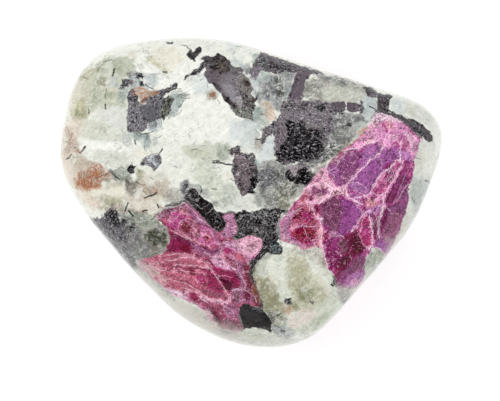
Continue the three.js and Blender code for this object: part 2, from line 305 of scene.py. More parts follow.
    # Painted shade: grey along the lower-left rim, where the stone turns down.
    ("slate", 2.0, 0.90, "155,283 162,286 170,293 175,300 167,298 159,292"),
    ("char", 2.0, 0.80, "120,219 128,219 135,224 137,231 130,235 123,230"),
    ("blue", 1.6, 0.60, "251,79 257,78 261,82 261,92 255,94 251,88"),
    ("blue", 1.6, 0.70, "260,73 267,72 271,75 269,81 263,82 259,78"),
    ("rust", 2.5, 0.55, "72,176 80,176 90,182 100,186 96,190 84,191 75,188"),
    ("tan", 3.0, 0.50, "126,186 138,182 150,186 152,198 140,202 128,198"),
    ("blue", 1.6, 0.70, "126,76 134,76 137,84 133,90 126,90"),
    ("milk", 2.0, 0.60, "268,262 276,258 283,262 286,272 283,280 276,282 269,276 266,268", 0.2),
    ("milk", 1.4, 0.60, "279,274 283,273 286,282 289,292 291,301 287,301 283,292 280,282", 0.2),
    ("moss", 2.0, 0.50, "297,290 304,286.5 312,288 315,295 310,300.5 301,300.5", 0.3),
    ("khaki", 2.0, 0.45, "262.5,282 268,280 273,286 275,294 274,304 268,308 264.5,300 262.5,290", 0.3),
    ("olive", 3.0, 0.32, "290,260 302,258 311,266 307,277 296,275 288,268", 0.3),
    ("milk", 2.0, 0.50, "315,261 326,268 331,278 333,291 327,293 325,281 320,272 311,265", 0.2),
    ("pewter", 1.4, 0.75, "255,259 261,252 269,250.5 274,252 268,256.5 261,260 257,265"),
    ("soot", 0.5, 1.0, "285.8,299 289,298.3 290.4,300 288.5,301.6 286,301.2"),
    ("soot", 0.5, 1.0, "287.5,302.6 289.8,302.2 290.3,304 288.3,304.6"),
    ("ash", 0.5, 0.9, "311.5,301.2 313,301 313.2,302.6 311.8,302.8"),
]

# Dark amphibole grains: (tone, blackness 0..1, lie of the fibres in degrees,
# how frayed the edge is, outline).
AMPH = [
    ((0.352, 0.348, 0.364), 0.22, 70, 0.55, "127,109 127.5,101 133,99 139,101 143,104 145,103 150,98.5 155,96.5 160,97 165,98 167,104 165,111 162.5,117 158,119.5 152,121.5 148,123.5 147,128 142,131.5 134,131.5 127,133 126.5,120"),
    ((0.450, 0.441, 0.441), 0.30, 60, 1.0, "128,103 134,100 140,102 142,107 138,111 132,110 128,110"),
    ((0.443, 0.432, 0.454), 0.40, 85, 0.8, "127,110 134,110 140,113 144,118 146,124 145,129 138,131 130,131.5 127,132"),
    ((0.270, 0.265, 0.300), 0.62, 40, 1.0, "126.5,96.5 129,91 132,88.5 135,90.5 136,95 139,97.5 138,100.5 133,100 128,101.5"),
    ((0.365, 0.344, 0.365), 0.50, 20, 1.2, "150,96 154,93 158,90 164,88 168,86.5 170,88 169,92 165,94 163,97.5 157,97"),
    ((0.345, 0.328, 0.328), 0.55, 20, 1.2, "166,90 169,86 173,83.5 175,82 178,83.5 177.5,87 175,90.5 171,92 167,93"),
    ((0.348, 0.360, 0.294), 0.50, 60, 2.4, "162.5,97.5 168,96.5 173,97.5 175,101 171,104 170.5,110 168.5,116 163.5,119.5 160,118.5 161.5,111 163.5,104"),
    # second cluster with its tail and two needles
    ((0.420, 0.390, 0.410), 0.24, -40, 0.58, "201,58 205,55.5 209,55.5 211,58 214.5,56.5 216.5,53.5 219,53 222,55.5 226,57 229,60 232,65 237,67.5 241,67.5 243,70.5 247,77 250,80 251,92 254,98 257,98.5 257.5,100 254,103 255,107 253.5,112 253,119.5 248,119 241,117.5 235,113.5 231,109 228,103 224,99 220,94 215,88.5 213,85 209.5,84 206.5,80 203.5,73 206,70 204,66 206,62"),
    ((0.300, 0.265, 0.275), 0.56, 20, 0.58, "203,57 206,55 212,57 218,53.5 226,57 231,62 232,69 222,72 212,70 206,64"),
    ((0.328, 0.292, 0.265), 0.40, 20, 0.58, "217,63 225,62 226,68 218,69"),
    ((0.370, 0.330, 0.360), 0.16, -40, 0.58, "206,71 218,72 222,80 219,89 212,84 208,78"),
    ((0.400, 0.380, 0.385), 0.40, 0, 0.58, "230,66 241,67 243,74 232,75"),
    ((0.450, 0.427, 0.450), 0.10, -45, 0.58, "219,82 228,75 240,76 241,86 238,94 240,104 232,100 224,94"),
    ((0.522, 0.505, 0.531), 0.00, -45, 0.58, "224,86 231,85 236,94 233,99 228,94"),
    ((0.560, 0.540, 0.550), 0.05, -45, 1.30, "232,101 240,96 243,103 240,110 235,107"),
    ((0.460, 0.443, 0.425), 0.30, 60, 1.30, "240,75 248,77 252,90 252,99 243,99 239,90"),
    ((0.450, 0.455, 0.425), 0.38, -20, 1.4, "231,108 244,107 254,110 253,120 245,119 236,115"),
    ((0.330, 0.315, 0.307), 0.50, -20, 1.30, "243,101 250,101 256,105 254,109 246,109"),
    ((0.225, 0.180, 0.180), 0.60, -35, 0.58, "220.5,95 224,95.5 228,98.5 227,101 223,99"),
    ((0.225, 0.180, 0.180), 0.60, -35, 0.58, "228.5,101 232,101.5 236,105.5 234.5,107.5 230.5,104.5"),
    ((0.260, 0.221, 0.221), 0.60, -35, 0.58, "214.5,84 218,85 221,88.5 218,89"),
    ((0.270, 0.216, 0.216), 0.50, 0, 1.30, "253.5,98.5 257.5,97 257.5,99.5 254,101"),
    ((0.270, 0.216, 0.216), 0.50, 0, 0.58, "244.5,80 248.5,80.5 248,84.5 245,84"),
    ((0.210, 0.168, 0.168), 0.60, 0, 1.30, "241,91.5 245,93.5 247,97 243,98.5 240.5,95"),
    ((0.330, 0.315, 0.320), 0.60, 40, 0.8, "206,60 207,63 205,68 200,71.5 196,74.5 190,74.5 187.5,77 185.5,80.5 184,80 185.5,76 189.5,72.5 193,70.5 198,67.5 202,62"),
    ((0.250, 0.230, 0.235), 0.66, 60, 0.6, "186.5,54 188.5,50 191,49.5 193,52 196,48.5 199.5,45 202.5,46.5 200.5,51.5 197.5,56 195,58.5 195.5,62 191.5,60.5 188.5,58.5"),
    # band along the straight edge, with two laths
    ((0.370, 0.345, 0.370), 0.42, -18, 1.0, "252,66 255,62 258,57 261,52 268,54 280,58 295,63 312,68 322,72 318,75 309,73.5 300,72 293,72 284,71.5 280,73.5 276,74 271,72 266,71 261,72 258,76 255,80 251,77 250,71"),
    ((0.452, 0.425, 0.457), 0.25, -10, 1.4, "252,70 258,67 263,67 262,71 258,75 255,79 253,78"),
    ((0.386, 0.395, 0.386), 0.50, 10, 1.0, "258,58 264,57 267,63 262,66 258,64"),
    ((0.250, 0.210, 0.225), 0.55, -18, 0.8, "270,61.5 280,65.5 289,66.5 290,69 282,69.5 276,67 270,65"),
    ((0.370, 0.325, 0.362), 0.16, -65, 0.45, "297,72 303,71 310,73 309,77 305,83 304,90 303,97 301.5,101.5 292,101 285,101 288,96.5 290.5,90 294,81"),
    ((0.300, 0.260, 0.290), 0.50, -65, 0.6, "296,79 298.5,80 297,86 294,89 292.5,88 295,83"),
    ((0.333, 0.290, 0.326), 0.16, 0, 0.45, "324.5,103.5 332,102 345,101 346,106 346.3,112 340,113 329,114 326,110"),
    ((0.333, 0.290, 0.326), 0.18, 0, 0.45, "347.2,102 354,103.2 361,103 362.5,106 362,111 356,112.3 349.3,111.3 347.3,107"),
    ((0.330, 0.315, 0.345), 0.50, 20, 1.0, "359.5,100 362,99.5 363.5,102 363,105 364,109 363,113 360,112 360,105"),
    ((0.185, 0.180, 0.185), 0.70, 0, 1.2, "330,113 345,112 344,114.5 332,115.5"),
    # broad central mass, frayed into the grey rock round it
    ((0.430, 0.405, 0.425), 0.34, -50, 2.6, "279,117 280,110 283,103.5 287,100 301,101 312,100 326,101 334,112 334,122 330,134 326,148 320,158 308,162 296,162 288,165 278,164 275,156 275,146 273,136 270,129 264,132 265,140 262,143 261,138 264,130 270,124"),
    ((0.387, 0.360, 0.378), 0.34, -50, 1.4, "282,105 286,100 301,101 305,103.5 311,101 318,100.5 327,101.5 327,108 328,114 325,117 323.5,122 322,130 320.5,138 320,145 317,152 313,158 308,161 302,160.5 296,161 291,164 288,164 285,162 281,163 278,161 276,156 276,150 277.5,145 275,138 274,131 271.5,128.5 268,128.5 265.5,131 266,135 264,139 263,143.5 261,141 262,135.5 264,130.5 268,127 272,125 275,121 278,117 281,112"),
    ((0.442, 0.414, 0.437), 0.20, 0, 1.2, "281,105 288,100 300,101 316,100 326,102 326,118 316,122 300,121 288,122 280,125 279,118"),
    ((0.400, 0.385, 0.385), 0.52, 0, 1.4, "282,102 290,100 292,108 284,110"),
    ((0.408, 0.365, 0.391), 0.15, 90, 1.2, "276,125 284,122 288,130 286,140 281,146 276,141"),
    ((0.340, 0.300, 0.320), 0.62, 0, 1.2, "300,129 320,127 321,139 317,143 308,141 299,141 295,134"),
    ((0.396, 0.354, 0.372), 0.60, 30, 1.3, "286,134 296,131 302,138 312,139 320,142 320,150 314,158 304,162 292,162 287,156 294,150 290,142"),
    ((0.476, 0.446, 0.459), 0.00, 80, 1.2, "288,141 294,140 296,148 291,152 287,150"),
    ((0.580, 0.545, 0.560), -0.20, 0, 1.2, "303,148 307,148.5 306.5,152 303,152"),
    ((0.459, 0.439, 0.443), 0.10, 0, 1.6, "304,122.5 313,123.5 319,127 312,128 306,127"),
    ((0.205, 0.170, 0.182), 0.70, 20, 1.8, "289,134 293,127 299,124 303,128 309,131 317,131 321,138 323,150 319,158 309,160 298,161 288,160 281,156 280,150 283,144 287,139"),
    ((0.140, 0.110, 0.120), 1.25, 0, 1.9, "288.5,122 292,120.5 293.5,124 296.5,124.5 296.5,129.5 293,131.5 288.5,131"),
    ((0.140, 0.110, 0.120), 1.25, 0, 1.9, "298.5,124 302,122 304.5,124 304,128 300,128.5 298,127"),
    ((0.140, 0.110, 0.120), 1.25, 0, 1.9, "286.5,134.5 289.5,133.5 291,138 288.5,141 286,139"),
    ((0.140, 0.110, 0.120), 1.25, 0, 1.9, "280.5,147 284,144 287,146 286.5,150.5 282,151.5"),
    ((0.140, 0.110, 0.120), 1.25, 0, 1.9, "277.5,153 281.5,151 283.5,156 282.5,161.5 279.5,162.5 277,158"),
    ((0.140, 0.110, 0.120), 1.25, 0, 1.9, "294.5,143.5 298.5,142 300,146 298.5,151 295,149.5"),
    ((0.098, 0.077, 0.084), 1.30, 0, 1.9, "300.5,143 304,141.5 307,144 306,148 301.5,148.5"),
    ((0.140, 0.110, 0.120), 1.25, 0, 1.9, "306.5,143.5 309.5,143 310.5,148 309,151.5 306.5,149.5"),
    ((0.140, 0.110, 0.120), 1.25, 0, 1.9, "311.5,140.5 315.5,141.5 318.5,145 319,150.5 315,152.5 311.5,150.5 310.5,145"),
    ((0.140, 0.110, 0.120), 1.25, 0, 1.9, "287.5,153.5 293,152 299.5,155 300.5,160.5 294,161.5 288.5,159.5"),
    ((0.182, 0.143, 0.156), 1.00, 0, 1.9, "300.5,152 306,150.5 311.5,153 312.5,158 307,160.5 301.5,159.5"),
    ((0.140, 0.110, 0.120), 1.25, 0, 1.9, "316.5,140.5 320.5,142.5 319.5,146.5 317,144.5"),
    ((0.238, 0.187, 0.204), 0.50, 0, 0.8, "301,106 306,103 308,106 303,108"),
    ((0.546, 0.516, 0.531), 0.05, 30, 1.6, "286,166 298,164 308,165.5 311.5,170 312.5,178 309,184 300,185 290,182 285,176"),
    ((0.560, 0.510, 0.520), -0.20, 30, 0.9, "291,170 296,169 299,172 297,178 293,177"),
    ((0.064, 0.052, 0.056), 1.40, 30, 0.7, "299,171 302,168.5 306,168 309.5,169.5 311.5,174 310.5,179 308,182.5 303,183.5 299,181.5 296.5,178"),
    ((0.064, 0.052, 0.056), 1.40, 30, 0.7, "286.5,172 289.5,171 292,174.5 293.5,178 298,178 299,181.5 293,182 289,180 286.5,176"),
    ((0.420, 0.399, 0.406), 0.30, 30, 1.0, "305,165.5 309.5,167 311.5,171 310.5,174 308.5,170.5"),
    ((0.220, 0.200, 0.210), 1.00, 10, 0.8, "316,107.5 320,104.5 325.5,104 323.5,109 319,110"),
    ((0.420, 0.400, 0.415), 0.45, -50, 1.6, "261,146 261,137 264,130 268,127.5 272,124 277,119 279,126 276,133 272,133.5 268,137.5 264,141 263,146"),
    # single grain left of the centre
    ((0.440, 0.390, 0.405), 0.44, 28, 0.8, "233,149 239,148.5 243,153 248,154.5 250,159 255,161 256.5,166 257,172 258,180 255.5,186 253,190 252.5,194 249,193.5 243,195.5 241,195 238,188.5 235.5,182 233.5,175 231,168.5 233.5,164 232,160 233.5,155"),
    ((0.363, 0.336, 0.347), 0.50, 10, 1.4, "230,148.5 236,146.5 241,149.5 241,153 236,154 231,156 229,153"),
    ((0.400, 0.390, 0.390), 0.50, 60, 1.2, "247,153.5 250.5,152.5 253.5,154 256,158.5 255,162 250,161.5 248,158.5"),
    ((0.136, 0.128, 0.132), 1.00, 80, 0.6, "250.5,180 252.5,178.5 254.5,175 255,170.5 258,171.5 259,182 256.5,186 253.5,188.5 251,189"),
    ((0.180, 0.170, 0.175), 0.90, 80, 0.7, "249,189 252,189.5 254,193 251,194.5 249,192.5"),
    # grain at the right-hand end of the edge, running down beside the ruby
    ((0.285, 0.255, 0.270), 0.52, -60, 0.8, "377,97.5 376.5,94 380,92 384,93 390,94 393,96 391,99 389,103 388,108 391,112 396,113.5 402,114.5 407,118.5 411,118.5 418,121.5 424,125.5 430,130.5 433.5,141 430,142.5 425,139.5 420,134.5 415,132.5 410,129.5 406,124.5 402,119.5 397,118.5 391,117.5 387,117 383,113.5 378,110.5 377,104"),
    ((0.400, 0.370, 0.400), 0.34, -20, 0.8, "362.5,86 370,87 377,90 377,97.5 372,97.5 367.5,95 365.5,90.5"),
    ((0.240, 0.225, 0.235), 0.60, -20, 0.7, "364,87 370,88 372,92 368,95 365.5,91"),
    ((0.330, 0.305, 0.325), 0.50, -35, 0.7, "408,119 418,122 425,127 431,132 433,141 426,139 418,132 410,128"),
    # black lath and the black fibrous mass between the rubies
    ((0.180, 0.145, 0.145), 0.80, -42, 0.6, "185,196 188,191 191,188.5 195,188.5 199,193.5 203,198 207,200.5 211,203.5 214.5,209 218.5,213 222.5,216.5 226,223 224,228 221,232 218,233 215.5,230.5 211.5,226.5 207,221.5 201.5,216.5 196.5,211.5 192.5,207 188.5,202 184,198"),
    ((0.220, 0.190, 0.190), 0.72, -42, 0.75, "186,196 190,191 195,191 199,197 196,203 190,202"),
    ((0.180, 0.155, 0.160), 0.78, 60, 0.95, "223,217 229,213 236,213.5 241,211 246,210.5 250,212.5 255,210.5 262,208.5 270,209.5 276,208.5 282,209.5 286,211 282,214 279,218 277.5,225 278.5,232 279.5,238 277.5,242 281,244 283.5,248.5 281,254 276,254.5 270,252.5 266,254 262,257.5 258,261.5 254.5,266.5 253.5,271.5 251,273.5 249.5,269 248.5,266 250,262 251,256.5 256,256 258,251 260,247 262,243 260,238 256,235.5 250,235.5 245,237.5 240,239.5 235,238.5 233.5,237 236.5,233 237.5,228 236,223.5 234,218"),
    ((0.270, 0.250, 0.250), 0.62, 60, 0.95, "238,222 246,216 254,218 256,228 248,234 240,234"),
    ((0.330, 0.310, 0.310), 0.58, 70, 0.95, "254,228 264,226 270,232 268,240 260,238 254,234"),
    ((0.330, 0.375, 0.375), 0.60, 30, 0.8, "271,243 278,243 281,248 276,252 271,249"),
    ((0.224, 0.202, 0.213), 0.80, 70, 1.4, "245,271 250,272 252,278 254,283 250,286 246,280"),
    ((0.160, 0.130, 0.130), 0.85, -42, 0.8, "218,211 223.5,213 229,212 230,214 224,215.5 221.5,218 226.5,221.5 227,224 223,229 219,230 216,216"),
    ((0.200, 0.175, 0.180), 0.80, 60, 1.2, "258.5,251 262,247 263,252 258,257 254,261 253,267 252.5,273 249.5,272.5 249.5,264 251,258.5"),
    # grain at the foot
    ((0.147, 0.129, 0.132), 0.22, -20, 0.52, "239.5,307 243,303.5 248,302 252,303.5 256,307 261,309 265,312 268,316 271,320 272,324 270.5,328 273,331 270.5,331 269,333.5 267,330.5 260,329.5 252,328.5 246,328.5 242,329.5 243,325 241,320 239,316 238.5,311"),
    ((0.075, 0.065, 0.068), 0.34, -30, 0.52, "241,305 248,302.5 253,304.5 257,308 263,310.5 267,315 271,320 271,326 267,322 262,316 254,312 246,310"),
    # lower left smudge and small grains
    ((0.370, 0.355, 0.370), 0.50, 80, 2.2, "92,219 100,218 105,214 109,210 112,208.5 115,209.5 118,212 119,217 121,221 119,226 112,228.5 106,227 100,225"),
    ((0.370, 0.353, 0.375), 0.40, 80, 2.4, "96,222 106,218 112,212 118,216 121,224 128,232 126,242 116,240 104,232"),
    ((0.144, 0.135, 0.141), 0.85, 80, 1.6, "106,215 113,210 118,214 120,221 117,226 110,225 106,220"),
    ((0.330, 0.345, 0.370), 0.60, 80, 1.6, "120.5,80 124,78.5 128,78.5 128.5,83 129,87 125.5,87.5 122,90 119.5,88 121.5,84"),
    ((0.460, 0.395, 0.415), 0.40, 80, 1.2, "128,80 131.5,79.5 133.5,83 131,85.5 128,84"),
    ((0.300, 0.305, 0.350), 0.60, 0, 1.4, "134.5,76 137,73.5 140,73 143.5,75.5 143,79 139,78 136.5,79"),
    ((0.290, 0.315, 0.345), 0.60, 0, 1.4, "139,80.5 142,80.5 144,85 140.5,86.5 139,84"),
    ((0.140, 0.133, 0.140), 0.80, 0, 0.9, "126.5,170 129.5,166 131.2,161.5 133,165.5 136.5,166 134.5,169 135.5,173 131,174.5 129,172.5 127,172.5"),
    ((0.672, 0.702, 0.720), 0.10, 0, 0.9, "141,164 143,160 147,156 153,154.5 158,155.5 160.5,158 160,163 157.5,167.5 154,168.5 149,166 145,164.5"),
    ((0.456, 0.437, 0.446), 0.30, 0, 0.8, "140.5,163 142.5,160.5 145,158.5 147,159 144,164.5 141,165"),
    ((0.432, 0.423, 0.432), 0.35, 0, 0.8, "154.5,156 158.5,154.5 161,157 161,163 158.5,166 156.5,161"),
    ((0.408, 0.391, 0.408), 0.35, 0, 0.8, "147.5,163.5 151.5,164 156,168 153.5,170.5 150,167"),
    ((0.099, 0.099, 0.102), 0.90, 0, 1.2, "129.5,227 132.5,226 134.5,229 132.5,232 129.5,230.5"),
    ((0.090, 0.095, 0.098), 0.80, 0, 1.6, "120,221 124.5,220.5 127,223.5 124,224.5 120,223.5"),
    ((0.360, 0.367, 0.390), 0.50, 60, 1.4, "181,190 184,184 188.5,183 188,188 185.5,193 183,196"),
    ((0.054, 0.054, 0.056), 1.00, 0, 0.8, "334,277.5 336,281 336,285.5 333.5,287.5 331.2,286 332,283.5 334,283"),
    ((0.300, 0.290, 0.300), 0.60, 0, 1.2, "345.5,121.5 348,122.5 350.5,122 351.2,125 349,127.5 347,126"),
    ((0.432, 0.432, 0.438), 0.35, 0, 2.2, "258,174 266,166 272,168 274,178 268,188 260,186"),
    ((0.180, 0.155, 0.160), 0.70, 60, 1.2, "252,262 257,255 262,250.5 268,249 272,251 267,253.5 262,256 259,260 256,264.5 254,268 252,269"),
    ((0.270, 0.200, 0.205), 0.62, 75, 1.1, "244,262 252,266 254,276 256,286 260,296 264,306 260,309 254,306 250,296 245,286 242,276"),
    ((0.400, 0.385, 0.410), 0.35, 20, 1.0, "140,101 144,97.5 150,95.5 157,94.5 162,96 160,101 150,103"),
]

# Milky or coloured films over everything: (tone, softness, strength, outline).
VEILS = [
    ("side", 5, 0.85, "140,268 148,276 160,287 174,296 190,303 206,310 212,318 220,330 200,330 176,310 150,290 136,276"),
    ("side", 5, 0.45, "228,330 245,330 270,332 300,336 320,330 300,350 260,350 232,342"),
    ("mist", 3, 0.65, "134,258 144,262 150,268 156,274 148,276 138,270"),
    ("blush", 4, 0.35, "144,262 156,262 160,270 168,282 160,284 150,276"),
    ("mist", 4, 0.40, "276,222 283,228 286,238 290,243 284,246 279,238 276,230"),
    ("milk", 4, 0.50, "284,242 296,245 306,251 318,249 322,252 318,260 304,254 292,250 284,248"),
    ("side", 4, 0.35, "336,284 350,286 364,276 360,290 344,296 336,294"),
    ("orange", 1.6, 0.45, "326,164 336,156 346,147 356,139 362,133 366,132 358,142 348,150 338,160 328,168"),
    ("copper", 2.0, 0.70, "92,164 104,168 112,176 104,182 94,186"),
    ("burnt", 1.5, 0.75, "76,172 88,170 96,176 92,184 80,184"),
    ("copper", 3, 0.95, "74,181 80,177 86,171 88,165 93,161.5 99,164 105,169 106,175 99,179 104,185 96,189 86,190 76,187"),
    ("copper", 2, 0.80, "132,88 138,86 144,88 147,92 153,90 158,89 156,93.5 150,96 146,100 143,104 139,101 140,97 134,96 131,92"),
    ("burnt", 3, 0.60, "62,128 68,126 74,134 76,142 82,150 78,156 72,152 64,160 60,154 66,146 66,138"),
    ("orange", 2, 0.55, "262,104 268,100 273,107 277,117 272,121 266,116"),
    ("orange", 1.4, 0.8, "355,133 361,129 369,127.5 366,131 360,136"),
    ("orange", 1.2, 0.8, "287,307 291,306.5 292,311 289,314 286,311"),
    ("orange", 1.2, 0.6, "226,172 229,171 230,180 227,182"),
    ("orange", 1.2, 0.7, "158,208 161,205 163,208 160,213"),
    ("burnt", 1.2, 0.7, "206,93 212,91 215,95 211,98 207,97"),
    ("burnt", 1.0, 0.6, "253,284 256,283 259,296 260,304 256,302 253,292"),
]

# Ruby: the outlines of the crystals, and the facets in them (tone, softness,
# outline). Vein share, how thickly pale veins cross a facet, is after it.
RUBY_TONE = {
    "pink": (0.860, 0.680, 0.790), "rose": (0.740, 0.510, 0.630),
    "blushpink": (0.850, 0.720, 0.780), "magenta": (0.640, 0.350, 0.550),
    "hot": (0.655, 0.300, 0.470), "crimson": (0.545, 0.180, 0.350),
    "deep": (0.420, 0.030, 0.190), "wine": (0.400, 0.080, 0.240),
    "black": (0.290, 0.000, 0.140), "violet": (0.630, 0.470, 0.650),
    "lilac": (0.690, 0.560, 0.710), "iris": (0.580, 0.400, 0.590),
    "plum": (0.540, 0.330, 0.500), "brown": (0.510, 0.290, 0.385),
    "softplum": (0.580, 0.410, 0.540), "dusk": (0.450, 0.270, 0.410),
    "salmon": (0.720, 0.490, 0.515), "salmonlight": (0.780, 0.610, 0.605),
    "mauve": (0.600, 0.470, 0.540), "shell": (0.850, 0.730, 0.760),
    "greyrose": (0.595, 0.420, 0.455), "cherry": (0.570, 0.240, 0.360),
    "umber": (0.490, 0.270, 0.420),
    "berry": (0.505, 0.130, 0.410),
    "grape": (0.530, 0.250, 0.530),
    "garnet": (0.530, 0.120, 0.280),
    "mulberry": (0.460, 0.060, 0.300),
    "orchid": (0.713, 0.390, 0.570),
    "vivid": (0.660, 0.130, 0.440),
    "dusty": (0.660, 0.420, 0.465),
    "ashrose": (0.480, 0.410, 0.420),
    "mistpink": (0.860, 0.810, 0.830),
    "ink": (0.330, 0.000, 0.190),
    "rustred": (0.430, 0.220, 0.240),
    "slateplum": (0.500, 0.390, 0.460),
    "thistle": (0.540, 0.410, 0.530),
    "duskrose": (0.510, 0.350, 0.470),
    "neckpink": (0.735, 0.620, 0.690),
    "russet": (0.560, 0.300, 0.305),
}
RUBIES = [
    "377,111.5 383,113 391,116 398,118.3 404,121.5 408.5,126.5 413,131 417,134.5 420,138 420.3,140 419,146 417,152 415.2,158 414.3,164 413.4,170 412.4,176 411.4,180 409.6,184 408.6,188 409,195 408.9,201 407.3,206 406,212 404,219 402,225 400,231 397,237 394,242 391,248 388,253 386,257.5 384,254 380,249.5 375,247.5 372,248 370,252 367,256 367,262 365,268 366,274 364,279 361,284 356,288 345,289.5 338,289.5 337.5,283 335.5,277.5 332,272 328,268 326,262 324,255 322,249 316,247 309,249 304,249.5 298,247 292,244 286,242 282,240.5 280,236 279.5,229 280.5,222 284,217.5 287.5,213.5 290.5,209 293.5,204 297,199.5 301,194 304,188 309,184 313,178 317,173 322,169 327,167 330,162 335,157 338,153.5 342,150 347,147 352,143.5 358,139.5 361,134 366,129 370,124 373,118.5",
    "157,219 159,213.5 164,209.5 170,208.5 176,207.5 181,205 185,202 188,203 192.5,207.5 197,212 202,217 207,222 212,227 215.5,230.5 218,233 221,231 225,227.5 227.5,223 224.5,220.5 222.5,217 224,214.5 229,213.5 234,213.5 235,218 235.5,222 236.5,226 237.5,230 235,234 232.5,238 236,240 240,238 246,236.5 253,235.5 260,237 262.5,241 262,247 259.5,253 256,257 252,259 249,262 249,266 249.3,274 250.8,280 253.3,286 256,291.5 258.3,298 260.3,303.5 259.8,308 250,305 243,304.5 239.5,308 238.5,314 239,320 243,327 238,331.5 228,331 220,328 212,323 206,317 202,311 197,306 190,303 183,299 172,295 165,290 158,284 150,278 143,271 138,265 138,261 145,259 152,257 160,254 166,250 169,244 170,238 168,231 166,227 163,224",
]
RUBY_LIE = [47, -16]  # lie of the ruby's own grain, in degrees
# A pale glassy haze over parts of the rim: partly the stone's milky rim, partly a painted reflection of the bright
# surroundings that the rim catches. Each is (softness, strength, outline).
RIM_HAZE_AND_GLARE = [
    (6.0, 0.80, "136,269 149,279 160,289 174,300 190,306 203,313 211,323 221,334 240,338 240,346 200,346 150,306 130,277"),
    (3.0, 0.35, "140,262 150,266 158,274 152,278 142,272"),
    (4.0, 0.30, "216,320 228,324 240,326 246,336 226,338"),
    (3.0, 0.35, "386,240 396,238 402,226 408,214 414,214 400,246 388,262"),
    (3.0, 0.50, "336,286 346,288 358,287 368,278 368,290 352,300 336,298"),
]
ROCK_LIE = math.radians(35)
